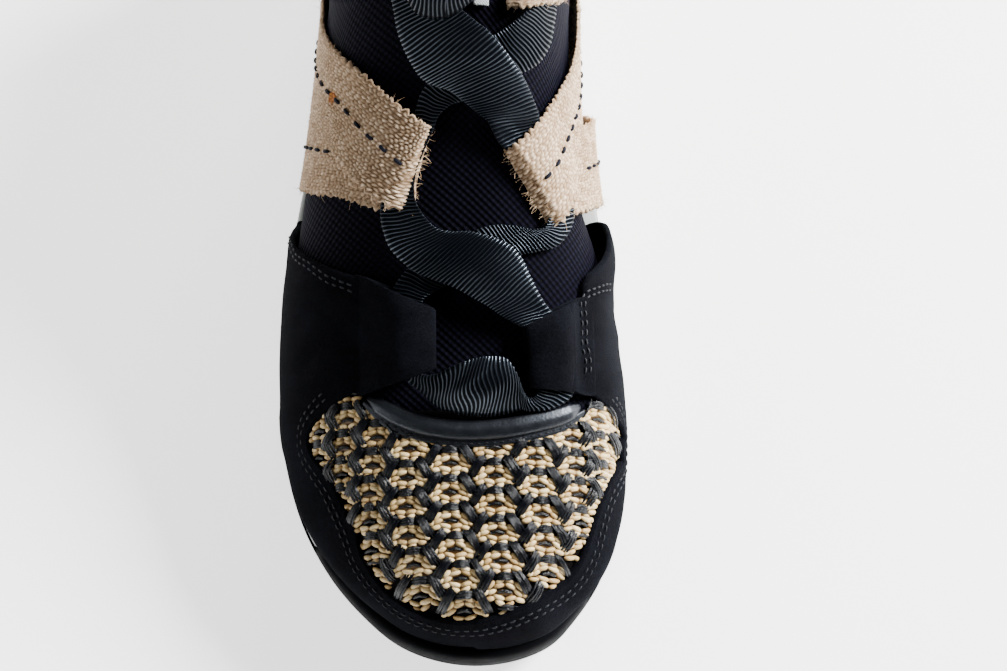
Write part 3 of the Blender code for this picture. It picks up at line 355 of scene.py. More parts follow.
def form_sheet(turns, rises):
    """The form from the lateral side at the last turn, round the toe, to the medial side. Returns
    the sheet's points, faces and, for each point, its turn and rise."""
    turns = np.asarray(turns, float)
    whole = turns[-1] > math.pi - 1e-6
    medial = turns[1:-1] if whole else turns[1:]
    around = np.concatenate([turns[::-1], 2 * math.pi - medial])
    grid = form_points(around[:, None], np.asarray(rises)[None, :])
    where = np.stack(np.broadcast_arrays(around[:, None], np.asarray(rises)[None, :]), -1)
    faces = grid_faces(*grid.shape[:2], wrap_rows=whole)
    flat, where = grid.reshape(-1, 3), where.reshape(-1, 2)
    _, first = np.unique(np.round(flat, WELD_PLACES), axis=0, return_index=True)
    points, faces = welded(flat, faces)
    return points, faces, where[first]


fine_points, fine_faces, fine_where = form_sheet(np.linspace(0, math.pi, FORM_TURNS),
                                                 np.linspace(0, 1, FORM_RISES))
form_tree = BVHTree.FromPolygons([Vector(p) for p in fine_points], fine_faces)
form_normals = normals_of(fine_points, fine_faces)
fine_corners = np.array([f if len(f) == 4 else list(f) + [f[-1]] for f in fine_faces])
TONGUE_REACH = 181.0


def lay(points):
    """The form's nearest points and smooth normals there."""
    points = np.asarray(points, float)
    spots, index = np.empty_like(points), np.empty(len(points), int)
    for n, point in enumerate(points):
        hit, _, face, _ = form_tree.find_nearest(Vector(point))
        spots[n] = hit
        index[n] = face
    corners = fine_corners[index]
    weights = 1 / (0.05 + np.linalg.norm(fine_points[corners] - spots[:, None], axis=-1))
    normals = (weights[..., None] * form_normals[corners]).sum(1)
    return spots, normals / np.linalg.norm(normals, axis=1, keepdims=True)


def below(x, s):
    """The form's points under (x, s)."""
    x, s = np.broadcast_arrays(np.asarray(x, float), np.asarray(s, float))
    out = np.empty((x.size, 3))
    for n, (a, b) in enumerate(zip(x.ravel(), s.ravel())):
        hit = form_tree.ray_cast(Vector((a, min(b, TONGUE_REACH), 300.0)), Vector((0, 0, -1)))[0]
        if hit is None:
            hit = form_tree.find_nearest(Vector((a, min(b, TONGUE_REACH), 30.0)))[0]
        out[n] = hit
        out[n, 1] += max(b - TONGUE_REACH, 0.0)
    return out


def where_on_form(points):
    """(turn, rise) of the form's nearest points, from the fine mesh."""
    points = np.asarray(points, float)
    out = np.empty((len(points), 2))
    for n, point in enumerate(points):
        hit, _, face, _ = form_tree.find_nearest(Vector(point))
        corners = fine_corners[face]
        weights = 1 / (1e-3 + np.linalg.norm(fine_points[corners] - np.array(hit), axis=1)) ** 2
        turn = fine_where[corners, 0]
        turn = np.where(turn - turn[0] > math.pi, turn - 2 * math.pi, turn)
        turn = np.where(turn - turn[0] < -math.pi, turn + 2 * math.pi, turn)
        out[n] = (weights @ turn / weights.sum(), weights @ fine_where[corners, 1] / weights.sum())
    return out


# Materials.
def look(name, colour, roughness, **sockets):
    made = bpy.data.materials.new(name)
    made.use_nodes = True
    shader = made.node_tree.nodes["Principled BSDF"]
    shader.inputs["Base Color"].default_value = (*colour, 1.0)
    shader.inputs["Roughness"].default_value = roughness
    for socket, value in sockets.items():
        shader.inputs[socket.replace("_", " ")].default_value = value
    return made


def node(look_, kind, **values):
    made = look_.node_tree.nodes.new(kind)
    for key, value in values.items():
        if key in made.inputs:
            made.inputs[key].default_value = value
        else:
            setattr(made, key, value)
    return made


def link(look_, a, b):
    look_.node_tree.links.new(a, b)


def surface(look_, socket):
    """An input of the look's surface shader."""
    return look_.node_tree.nodes["Principled BSDF"].inputs[socket]


def coordinates(look_, kind="Object"):
    return node(look_, "ShaderNodeTexCoord").outputs[kind]


def noise(look_, scale, detail=3.0, roughness=0.55, kind="Object", stretch=None):
    source = coordinates(look_, kind)
    if stretch:
        mapping = node(look_, "ShaderNodeMapping")
        mapping.inputs["Scale"].default_value = stretch
        link(look_, source, mapping.inputs["Vector"])
        source = mapping.outputs["Vector"]
    made = node(look_, "ShaderNodeTexNoise", Scale=scale, Detail=detail, Roughness=roughness)
    link(look_, source, made.inputs["Vector"])
    return made.outputs["Fac"]


def ramp(look_, value, stops):
    made = node(look_, "ShaderNodeValToRGB")
    elements = made.color_ramp.elements
    while len(elements) < len(stops):
        elements.new(0.5)
    for element, (place, colour) in zip(elements, stops):
        element.position = place
        element.color = (*colour, 1.0) if len(colour) == 3 else colour
    link(look_, value, made.inputs["Fac"])
    return made.outputs["Color"]


def grey(value):
    return (value, value, value)


def sums(look_, *terms):
    """A weighted sum of values: pairs of a socket and a number."""
    total = None
    for value, weight in terms:
        scaled = node(look_, "ShaderNodeMath", operation="MULTIPLY")
        link(look_, value, scaled.inputs[0])
        scaled.inputs[1].default_value = weight
        if total is None:
            total = scaled.outputs[0]
        else:
            added = node(look_, "ShaderNodeMath", operation="ADD")
            link(look_, total, added.inputs[0])
            link(look_, scaled.outputs[0], added.inputs[1])
            total = added.outputs[0]
    return total


def bumped(look_, height, distance, strength=1.0):
    """Sets the surface's bump. distance is in millimetres."""
    made = node(look_, "ShaderNodeBump", Strength=strength, Distance=distance * MM)
    link(look_, height, made.inputs["Height"])
    link(look_, made.outputs["Normal"], surface(look_, "Normal"))


def coloured(look_, colour):
    link(look_, colour, surface(look_, "Base Color"))


def rough(look_, value):
    link(look_, value, surface(look_, "Roughness"))


def wave(look_, value, period, phase=0.0):
    """A sine of a value, from -1 to 1, with its period in the value's own unit."""
    scaled = node(look_, "ShaderNodeMath", operation="MULTIPLY_ADD")
    link(look_, value, scaled.inputs[0])
    scaled.inputs[1].default_value = 2 * math.pi / period
    scaled.inputs[2].default_value = phase
    made = node(look_, "ShaderNodeMath", operation="SINE")
    link(look_, scaled.outputs[0], made.inputs[0])
    return made.outputs[0]


def times(look_, a, b):
    made = node(look_, "ShaderNodeMath", operation="MULTIPLY")
    link(look_, a, made.inputs[0])
    link(look_, b, made.inputs[1])
    return made.outputs[0]


def axes(look_, kind="Object"):
    """The X and Y of a look's coordinates."""
    made = node(look_, "ShaderNodeSeparateXYZ")
    link(look_, coordinates(look_, kind), made.inputs[0])
    return made.outputs["X"], made.outputs["Y"]


def weave_cells(look_, kind, across, along):
    """A weave's rise and fall, with a period for each direction."""
    x, y = axes(look_, kind)
    return times(look_, wave(look_, x, across), wave(look_, y, along))


def tone_of(look_):
    """The shade that a piece gives at each of its points."""
    return node(look_, "ShaderNodeAttribute", attribute_name="tone").outputs["Fac"]


def suede_look(name, base, light):
    made = look(name, base, 1.0, Sheen_Weight=0.008, Sheen_Roughness=0.45,
                Sheen_Tint=(0.55, 0.65, 0.9, 1.0), Specular_IOR_Level=0.03)
    nap = noise(made, 3300, 4.0, 0.75)
    cloud = noise(made, 70, 3.0, 0.55)
    grain = noise(made, 1500, 3.0, 0.6)
    mixed = sums(made, (nap, 0.6), (cloud, 0.22), (grain, 0.18))
    fleck = tuple(2.6 * channel for channel in light)
    coloured(made, ramp(made, mixed, ((0.42, base), (0.6, light), (0.72, fleck))))
    bumped(made, sums(made, (nap, 1.0), (grain, 0.6)), 0.3, 0.9)
    return made


suede = suede_look("suede", (0.0005, 0.0005, 0.0008), (0.0046, 0.0050, 0.0076))

mesh_look = look("knit_mesh", (0.006, 0.006, 0.016), 0.85, Sheen_Weight=0.02, Sheen_Roughness=0.4,
                 Sheen_Tint=(0.5, 0.5, 1.0, 1.0), Specular_IOR_Level=0.04)
MESH_PITCH = (2.3, 2.5)  # twice the spacing of the holes, across and along
cells = weave_cells(mesh_look, "UV", *MESH_PITCH)
yarn = noise(mesh_look, 3.0, 2.0, 0.5, "UV")
coloured(mesh_look, ramp(mesh_look, sums(mesh_look, (cells, 0.5), (yarn, 0.5)),
                         ((0.0, (0.0006, 0.0006, 0.0014)), (0.3, (0.0014, 0.0013, 0.0040)),
                          (0.7, (0.0026, 0.0025, 0.0074)))))
bumped(mesh_look, sums(mesh_look, (cells, 0.5), (yarn, 0.15)), 0.4, 1.0)

rubber = look("rubber", (0.0014, 0.0016, 0.0023), 0.46, Specular_IOR_Level=0.03)
rough(rubber, ramp(rubber, noise(rubber, 120, 4.0), ((0.3, grey(0.62)), (0.75, grey(0.85)))))
bumped(rubber, sums(rubber, (noise(rubber, 1800, 2.0), 1.0), (noise(rubber, 260, 3.0), 0.8)), 0.08, 0.6)

foam = look("foam", (0.27, 0.29, 0.28), 0.62)
coloured(foam, ramp(foam, noise(foam, 60, 4.0),
                    ((0.3, (0.24, 0.26, 0.25)), (0.7, (0.31, 0.33, 0.315)))))
bumped(foam, sums(foam, (noise(foam, 1500, 3.0), 1.0), (noise(foam, 300, 2.0), 0.5)), 0.1, 0.6)

board = look("board", (0.36, 0.26, 0.16), 0.85)
weft = weave_cells(board, "Object", 1.6 * MM, 1.4 * MM)
coloured(board, ramp(board, sums(board, (weft, 0.3), (noise(board, 350, 3.0), 0.7)),
                     ((0.15, (0.20, 0.14, 0.08)), (0.6, (0.46, 0.34, 0.21)))))
bumped(board, sums(board, (weft, 0.5), (noise(board, 1200, 3.0), 0.3)), 0.3, 0.8)

leather = look("leather", (0.0012, 0.0014, 0.0026), 0.3,
               Specular_Tint=(0.8, 0.88, 1.0, 1.0), Specular_IOR_Level=0.5)
grain_cells = node(leather, "ShaderNodeTexVoronoi", Scale=1400.0)
link(leather, coordinates(leather), grain_cells.inputs["Vector"])
rough(leather, ramp(leather, noise(leather, 300, 3.0), ((0.3, grey(0.38)), (0.75, grey(0.52)))))
bumped(leather, sums(leather, (grain_cells.outputs["Distance"], 1.0), (noise(leather, 400, 3.0), 0.6)),
       0.07, 0.55)

thread = look("thread", (0.0045, 0.0055, 0.0085), 0.6, Specular_IOR_Level=0.2)
bumped(thread, noise(thread, 3500, 2.0), 0.06, 0.7)

raffia = look("raffia", (0.60, 0.40, 0.20), 0.45, Specular_IOR_Level=0.4)
straw = noise(raffia, 900, 3.0, 0.6)
# The tone attribute picks the colour; the dark brown low stops carry the painted shade of the under-strands
# and the puffs' ends.
coloured(raffia, ramp(raffia, sums(raffia, (tone_of(raffia), 0.7), (straw, 0.3)),
                      ((0.12, (0.028, 0.013, 0.005)), (0.34, (0.27, 0.150, 0.047)),
                       (0.58, (0.58, 0.41, 0.185)), (0.85, (0.80, 0.63, 0.35)))))
bumped(raffia, sums(raffia, (noise(raffia, 2600, 3.0), 1.0), (straw, 0.6)), 0.1, 0.7)

straw_black = look("straw_black", (0.002, 0.0025, 0.004), 0.24, Specular_IOR_Level=0.3)
fibre = noise(straw_black, 1.0, 3.0, 0.6, "UV", (6.0, 0.35, 1.0))
coloured(straw_black, ramp(straw_black, fibre,
                           ((0.4, (0.0005, 0.0007, 0.0016)), (0.8, (0.0030, 0.0040, 0.0070)))))
bumped(straw_black, fibre, 0.3, 0.9)

# Near-black sheet under the weave: painted shade for the gaps between the woven blocks.
shade_sheet = look("panel_shade_sheet", (0.0020, 0.0015, 0.0015), 0.9, Specular_IOR_Level=0.05)
bumped(shade_sheet, noise(shade_sheet, 900, 3.0), 0.25, 0.8)

jute = look("jute", (0.55, 0.36, 0.21), 0.85, Sheen_Weight=0.08, Sheen_Roughness=0.4,
            Sheen_Tint=(1.0, 0.9, 0.75, 1.0), Specular_IOR_Level=0.2)
fibres = noise(jute, 1.0, 4.0, 0.65, "UV", (1.2, 7.0, 1.0))
cloud_tone = noise(jute, 110, 3.0, 0.6)
# The tone attribute drives the colour; its low end is the dark brown of the painted shade between grains.
jute_ramp = ramp(jute, sums(jute, (tone_of(jute), 0.50), (fibres, 0.32), (cloud_tone, 0.18)),
                 ((0.20, (0.050, 0.024, 0.010)), (0.35, (0.20, 0.120, 0.062)), (0.52, (0.43, 0.30, 0.19)),
                  (0.74, (0.70, 0.535, 0.38))))
FLECK, FLECK_REACH = (-0.0336, 0.0166, 0.0770), 0.0042  # a stained spot on the lateral strap
away = node(jute, "ShaderNodeVectorMath", operation="DISTANCE")
link(jute, coordinates(jute), away.inputs[0])
away.inputs[1].default_value = FLECK
spread = sums(jute, (away.outputs["Value"], 1 / FLECK_REACH), (noise(jute, 500, 2.0), 0.8))
stained = node(jute, "ShaderNodeMix", data_type="RGBA", blend_type="MULTIPLY")
link(jute, ramp(jute, spread, ((0.75, grey(1.0)), (1.0, grey(0.0)))), stained.inputs["Factor"])
link(jute, jute_ramp, stained.inputs["A"])
stained.inputs["B"].default_value = (0.75, 0.36, 0.09, 1.0)
coloured(jute, stained.outputs["Result"])
bumped(jute, sums(jute, (fibres, 1.0), (noise(jute, 4200, 2.0), 0.5)), 0.2, 0.9)

hair_look = look("jute_hair", (0.60, 0.42, 0.26), 0.6)
coloured(hair_look, ramp(hair_look, noise(hair_look, 500, 2.0), ((0.3, (0.36, 0.22, 0.11)),
                                                                (0.7, (0.70, 0.52, 0.34)))))

navy = look("navy_thread", (0.0022, 0.0026, 0.0075), 0.7, Specular_IOR_Level=0.12)
bumped(navy, noise(navy, 2500, 3.0), 0.2, 0.9)

ribbon = look("ribbon", (0.002, 0.0025, 0.004), 0.3,
              Specular_Tint=(0.68, 0.82, 1.0, 1.0), Specular_IOR_Level=0.5)
weave_noise = noise(ribbon, 1.0, 2.0, 0.5, "UV", (2.0, 2.0, 1.0))
coloured(ribbon, ramp(ribbon, weave_noise,
                      ((0.3, (0.0012, 0.0015, 0.0024)), (0.7, (0.0028, 0.0036, 0.0050)))))
along_ribbon, over_ribbon = axes(ribbon, "UV")
warp = wave(ribbon, over_ribbon, 0.38)
bumped(ribbon, sums(ribbon, (warp, 0.3), (weave_noise, 0.3)), 0.05, 0.6)
RIB_PITCH, RIB_RAISE = 1.12, 0.21  # of the ribbon's ribs
# Specular level follows the ribs: full on their crests, nearly none in the valleys as painted shade between
# the ribs, times the tone attribute holding the painted highlights.
crest = ramp(ribbon, wave(ribbon, along_ribbon, RIB_PITCH, math.pi / 2),
             ((0.0, grey(0.02)), (0.4, grey(0.04)), (0.92, grey(0.95))))
link(ribbon, times(ribbon, crest, tone_of(ribbon)), surface(ribbon, "Specular IOR Level"))

tape = look("tape", (0.50, 0.53, 0.53), 0.75, Sheen_Weight=0.2)
bumped(tape, weave_cells(tape, "UV", 0.7, 0.6), 0.12, 0.8)


# Finer mesh tools.
def refine(grid, rows, columns):
    """A coarse grid of points made finer, smoothly, along both of its directions."""
    grid = np.asarray(grid, float)
    for axis, count in ((0, rows), (1, columns)):
        knots = grid.shape[axis]
        slopes = np.moveaxis(np.gradient(grid, axis=axis), axis, 0)
        values = np.moveaxis(grid, axis, 0)
        where = np.linspace(0, knots - 1, count)
        i = np.clip(where.astype(int), 0, knots - 2)
        t = (where - i).reshape((-1,) + (1,) * (values.ndim - 1))
        made = ((1 + 2 * t) * (1 - t) ** 2 * values[i] + t * (1 - t) ** 2 * slopes[i]
                + t * t * (3 - 2 * t) * values[i + 1] - t * t * (1 - t) * slopes[i + 1])
        grid = np.moveaxis(made, 0, axis)
    return grid


def grid_normals(grid):
    normal = np.cross(np.gradient(grid, axis=0), np.gradient(grid, axis=1))
    return normal / np.maximum(np.linalg.norm(normal, axis=-1, keepdims=True), 1e-9)


def slab(grid, low, high, normals, rounding, steps=RIM_STEPS):
    """A closed shell between two offsets from an open grid, with a rounded rim. Its first points are
    those of the upper side, in the grid's order, and then those of the lower side."""
    rows, columns = grid.shape[:2]
    high = np.broadcast_to(np.asarray(high, float), (rows, columns))[..., None]
    low = np.broadcast_to(np.asarray(low, float), (rows, columns))[..., None]
    upper = (grid + normals * high).reshape(-1, 3)
    lower = (grid + normals * low).reshape(-1, 3)
    index = np.arange(rows * columns).reshape(rows, columns)
    loop = np.concatenate([index[0, :-1], index[:-1, -1], index[-1, :0:-1], index[:0:-1, 0]])
    flat, flat_normals = grid.reshape(-1, 3)[loop], normals.reshape(-1, 3)[loop]
    along = np.roll(flat, -1, axis=0) - np.roll(flat, 1, axis=0)
    outward = np.cross(along, flat_normals)
    outward /= np.maximum(np.linalg.norm(outward, axis=1, keepdims=True), 1e-9)
    inside = grid.reshape(-1, 3).mean(0)
    if np.einsum("ij,ij->i", outward, flat - inside).mean() < 0:
        outward = -outward
    points, loops = [upper, lower], [loop]
    base = 2 * rows * columns
    for step in range(1, steps + 1):
        share = step / (steps + 1)
        bulge = rounding * math.sin(math.pi * share) ** 0.7
        points.append((1 - share) * upper[loop] + share * lower[loop] + outward * bulge)
        loops.append(np.arange(len(loop)) + base)
        base += len(loop)
    loops.append(loop + rows * columns)
    quads = grid_faces(rows, columns)
    faces = [quads, quads[:, ::-1] + rows * columns]
    for a, b in zip(loops, loops[1:]):
        faces.append(np.stack([np.roll(a, -1), a, b, np.roll(b, -1)], 1)[:, ::-1])
    return np.concatenate(points), np.concatenate(faces)


def turned_out(points, faces):
    return faces if volume_of(points, faces) > 0 else faces[:, ::-1]


def distance_to(points, path):
    """How far each point is from a path, and how far along the path its nearest place is."""
    best = np.full(len(points), 1e9)
    along = np.zeros(len(points))
    total = 0.0
    for a, b in zip(path[:-1], path[1:]):
        span = b - a
        length = np.linalg.norm(span)
        if length < 1e-9:
            continue
        t = np.clip((points - a) @ span / length**2, 0, 1)
        gap = np.linalg.norm(points - (a + t[:, None] * span), axis=1)
        nearer = gap < best
        best[nearer] = gap[nearer]
        along[nearer] = total + t[nearer] * length
        total += length
    return best, along


def troughs(points, table):
    """Soft troughs and ridges. Each has a path of (x, s), a half width and a height."""
    raised = np.zeros(len(points))
    for path, width, height in table:
        path = flat_spline(path, step=1.5)
        away, along = distance_to(points * (1, 1, 0), path)
        total = np.linalg.norm(np.diff(path, axis=0), axis=1).sum()
        fade = np.clip(np.minimum(along, total - along) / (0.2 * total + 1e-6), 0, 1)
        raised += height * np.exp(-((away / width) ** 2)) * (0.25 + 0.75 * fade)
    return raised


STITCH_RINGS = (  # share of a stitch's length, share of its radius, rise over its radius
    (0.0, 0.25, -0.5), (0.08, 0.8, -0.15), (0.25, 1.0, 0.2), (0.5, 1.0, 0.3), (0.75, 1.0, 0.2),
    (0.92, 0.8, -0.15), (1.0, 0.25, -0.5),
)
STITCH_SIDES = 8
STITCH_FLATNESS = 1.15  # its width over its height
STITCH_WOBBLE = 0.12
STITCH_SIGHT = 0.4  # how far ahead and behind its direction is read


def stitches(path, normals, length, gap, radius):
    """Rounded stitches along a path on a surface."""
    chord = length_along(path)
    starts = np.arange(gap, chord[-1] - length, length + gap)
    angles = np.linspace(0, 2 * math.pi, STITCH_SIDES + 1)[:-1]
    parts = []
    for start in starts:
        ring_points = []
        wobble = rng.uniform(-STITCH_WOBBLE, STITCH_WOBBLE, 2)
        for share, size, rise in STITCH_RINGS:
            where = start + share * length
            spot = path_at(where, chord, path)
            normal = path_at(where, chord, normals)
            normal /= np.linalg.norm(normal)
            ahead = path_at(where + STITCH_SIGHT, chord, path)
            behind = path_at(where - STITCH_SIGHT, chord, path)
            along = (ahead - behind) / np.linalg.norm(ahead - behind)
            side = np.cross(along, normal)
            centre = spot + normal * (rise * radius) + side * (wobble[0] + wobble[1] * (share - 0.5))
            for angle in angles:
                ring_points.append(centre + radius * size * (math.cos(angle) * side * STITCH_FLATNESS
                                                             + math.sin(angle) * normal))
        ring_points = np.array(ring_points)
        count = len(ring_points)
        faces = [list(f) for f in grid_faces(len(STITCH_RINGS), STITCH_SIDES, wrap_columns=True)]
        faces += [list(range(STITCH_SIDES)), list(range(count - 1, count - STITCH_SIDES - 1, -1))]
        if volume_of(ring_points, [f for f in faces if len(f) == 4]) < 0:
            faces = [f[::-1] for f in faces]
        parts.append((ring_points, faces))
    return parts


# Sole.
TOE_BUMPER = 3.2
BUMPER_END = {LATERAL: 34.0, MEDIAL: 20.0}
SOLE_SIDE = (  # share of the midsole's height, inset
    (0.0, 1.3), (0.03, 0.8), (0.30, 0.2), (0.44, 0.2), (0.50, 1.0), (0.56, 1.25), (0.62, 1.0), (0.68, 0.2),
    (0.86, 0.35), (0.95, 0.7), (1.0, 1.5),
)
LUG_GROOVE = (2.6, 2.2)  # width along the sole, and depth
LUG_PITCH = 12.0
FORE_LUGS = (22.0, 118.0)
HEEL_LUGS = (176.0, 258.0)
FINE_TURNS = np.linspace(0, 2 * math.pi, 321)[:-1]


def folded(turn):
    return np.where(turn <= math.pi, turn, 2 * math.pi - turn)


def toe_share(turn):
    """1 where the bumper covers the toe, 0 along the sides and the heel."""
    s = s_of(folded(turn))
    end = np.where(turn <= math.pi, BUMPER_END[LATERAL], BUMPER_END[MEDIAL])
    share = np.clip((end + 2.0 - s) / 6.0, 0, 1)
    return share**2 * (3 - 2 * share)


def sole_ring(inset, z_at, toe_inset=0.0):
    moved = inset if np.isscalar(inset) else sided(FINE_TURNS, inset)
    plan = outline_point(FINE_TURNS, moved + toe_inset * toe_share(FINE_TURNS))
    return np.column_stack([plan, z_at(plan[:, 1])])


def ring_slab(rings):
    """A solid through closed rings of points, the first and last capped across the sole."""
    rings = np.asarray(rings, float)
    levels, count = rings.shape[:2]
    faces = [list(f) for f in grid_faces(levels, count, wrap_columns=True)]
    for level in (0, levels - 1):
        for i in range(count // 2):
            face = [i, i + 1, (count - i - 1) % count, (count - i) % count]
            face = [level * count + c for n, c in enumerate(face) if c != face[n - 1]]
            faces.append(face if level == 0 else face[::-1])
    return rings.reshape(-1, 3), faces


def carve(target, cutters):
    """Takes boxes, each (low corner, high corner), out of a piece's mesh."""
    points, faces = [], []
    for low, high in cutters:
        corner = [[(low, high)[i][0], (low, high)[j][1], (low, high)[k][2]]
                  for i in (0, 1) for j in (0, 1) for k in (0, 1)]
        base = len(points)
        points += corner
        faces += [[base + c for c in f] for f in ((0, 1, 3, 2), (4, 6, 7, 5), (0, 4, 5, 1), (2, 3, 7, 6),
                                                  (0, 2, 6, 4), (1, 5, 7, 3))]
    mesh = bpy.data.meshes.new("groove_tool")
    mesh.from_pydata(to_world(points).tolist(), [], faces)
    tool = bpy.data.objects.new("groove_tool", mesh)
    bpy.context.scene.collection.objects.link(tool)
    modifier = target.modifiers.new("grooves", "BOOLEAN")
    modifier.operation = "DIFFERENCE"
    modifier.solver = "MANIFOLD"
    modifier.object = tool
    bpy.context.view_layer.update()
    graph = bpy.context.evaluated_depsgraph_get()
    made = bpy.data.meshes.new_from_object(target.evaluated_get(graph))
    made.materials.clear()
    made.materials.append(rubber)
    made.polygons.foreach_set("material_index", np.zeros(len(made.polygons), np.int32))
    target.modifiers.clear()
    old, target.data = target.data, made
    bpy.data.meshes.remove(old)
    bpy.data.objects.remove(tool)
    bpy.data.meshes.remove(mesh)
    made.shade_smooth()
    made.set_sharp_from_angle(angle=math.radians(38))


OUTSOLE_FOOT = ((9.0, 0.0), (1.9, 0.0), (1.1, 0.25), (0.45, 0.8), (0.08, 1.8))  # inset, height over ground
FOOT_TOP = OUTSOLE_FOOT[-1][1]
BUMPER_FACE = (  # rise over the outsole's top, inset: the toe bumper's outer face
    (-0.3, 0.0), (1.5, 0.0), (3.0, -0.15), (5.0, -0.1), (7.0, 0.1), (9.0, 0.4), (10.2, 1.0),
    (10.9, 1.9), (11.2, 3.1), (11.1, 4.3),
)
BUMPER_BACK = (  # rise over the midsole's top, inset: its inner face
    (1.8, 5.4), (0.5, 5.5), (0.4, 4.4), (0.3, 3.2), (-3.0, 3.2), (-9.0, 3.2),
)
RING_STEP = 0.12  # how much further in each ring lies where there is no bumper


def build_outsole():
    rings = [sole_ring(inset, lambda s, rise=rise: ground_at(s) + rise) for inset, rise in OUTSOLE_FOOT]
    for share in (0.4, 0.8):
        rings.append(sole_ring(0.0, lambda s, share=share: ground_at(s) + FOOT_TOP
                               + share * (outsole_top_at(s) - ground_at(s) - FOOT_TOP)))
    tall = toe_share(FINE_TURNS)
    level = 0.0
    for rise, inset in BUMPER_FACE:
        level += RING_STEP
        plan = outline_point(FINE_TURNS, inset * tall + (1 - tall) * level)
        rings.append(np.column_stack([plan, outsole_top_at(plan[:, 1]) + rise * tall]))
    for over, inset in BUMPER_BACK:
        level += RING_STEP
        plan = outline_point(FINE_TURNS, inset * tall + (1 - tall) * level)
        top = outsole_top_at(plan[:, 1])
        rise = np.maximum(midsole_top_at(plan[:, 1]) + over - top, 0.0)
        rings.append(np.column_stack([plan, top + tall * rise]))
    rings.append(sole_ring(9.0, outsole_top_at))
    made = piece("outsole_lugged", *ring_slab(rings), rubber, sharp=38, slot="rubber_black", node="outsole")
    width, depth = LUG_GROOVE
    across, along = [], []
    for start, end in (FORE_LUGS, HEEL_LUGS):
        for s in np.arange(start, end, LUG_PITCH):
            across.append(((-80.0, s, -5.0), (80.0, s + width, float(ground_at(s)) + depth)))
        for x in (-19.0, 16.0):
            along.append(((x, start + 6.0, -5.0), (x + 2.2, end - 6.0, 1.7)))
    carve(made, across)
    carve(made, along)
    return made


FOAM_TRIM = {  # foam hidden by the suede: how much, at what s, over what length
    LATERAL: (0.5, 36.0, 16.0), MEDIAL: (1.9, 27.0, 15.0),
}


def foam_ring(inset, z_at):
    edge = {side: lambda s, side=side: inset + FOAM_TRIM[side][0] * np.exp(
        -(((s - FOAM_TRIM[side][1]) / FOAM_TRIM[side][2]) ** 2)) for side in FOAM_TRIM}
    return sole_ring(edge, z_at, TOE_BUMPER + 3 * GAP)


def build_midsole():
    share, inset = rows_of(SOLE_SIDE)
    inset_of = curve(share, inset)
    rings = []
    low = lambda s: outsole_top_at(s) + GAP
    rings.append(foam_ring(9.0, low))
    for level in np.linspace(0, 1, 29):
        rings.append(foam_ring(float(inset_of(level)),
                               lambda s, level=level: low(s) + level * (midsole_top_at(s) - low(s))))
    rings.append(foam_ring(9.0, midsole_top_at))
    return piece("midsole_foam", *ring_slab(rings), foam, sharp=50, slot="foam_grey", node="midsole")


def build_insole():
    rings = []
    for inset, rise in ((9.0, 0.3), (0.6, 0.3), (0.15, 0.7), (0.0, 1.4), (0.2, 2.1), (0.7, 2.45), (9.0, 2.5)):
        edge = {side: lambda s, side=side, inset=inset: inset_at[side](s) - 0.15 + inset for side in inset_at}
        rings.append(sole_ring(edge, lambda s, rise=rise: midsole_top_at(s) + rise))
    return piece("insole_board", *ring_slab(rings), board, sharp=50, slot="board_tan", node="insole")


# Bootie.
BOOTIE_WALL = 1.8
RIM_BAND, FOOT_BAND = 0.5, 0.9


def over_foot(points):
    return points[:, 2] - midsole_top_at(points[:, 1])


def level_rim(points, normals):
    low = over_foot(points) < INSOLE_THICK + GAP + RIM_BAND
    normals = normals.copy()
    normals[low, 2] = 0.0
    return normals / np.maximum(np.linalg.norm(normals, axis=1, keepdims=True), 1e-9)


def settled(points, lift):
    floor_z = midsole_top_at(points[:, 1]) + lift
    points = points.copy()
    points[:, 2] = np.where(points[:, 2] < floor_z + FOOT_BAND, floor_z, points[:, 2])
    return points


def build_bootie():
    tongue = turn_of(TONGUE_REACH)
    back = tongue + (math.pi - tongue) * np.linspace(0, 1, 53) ** 1.2
    turns = np.concatenate([np.linspace(0, tongue, 97), back[1:]])
    rises = np.concatenate([np.linspace(0, 0.9, 41), np.linspace(0.9, 1, 9)[1:]])
    points, faces, where = form_sheet(turns, rises)
    normals = level_rim(points, normals_of(points, faces))
    shell, faces = thick(points, faces, -BOOTIE_WALL, 0.0, normals, rounding=0.5)
    shell = settled(shell, INSOLE_THICK + GAP)
    knots = np.linspace(0, math.pi, 721)
    arcs = []
    for around in (knots, 2 * math.pi - knots):
        arcs.append(length_along(form_points(around, 0.6)))
    arc = (arcs[0] + arcs[1]) / 2

    def mesh_uv(places, spots):
        half = folded(places[:, 0] % (2 * math.pi))
        top = form_points(places[:, 0] % (2 * math.pi), 1.0)
        down = np.linalg.norm(spots - top, axis=1) * 1.06
        return np.column_stack([np.interp(half, knots, arc),
                                np.where(places[:, 0] % (2 * math.pi) <= math.pi, -down, down)])
    uv = mesh_uv(where, points)
    rim_points = shell[2 * len(points):]
    uv = np.concatenate([uv, uv, mesh_uv(where_on_form(rim_points), rim_points)])
    return piece("bootie_mesh", shell, faces, mesh_look, uv=uv, slot="mesh_navy", node="inner_bootie")


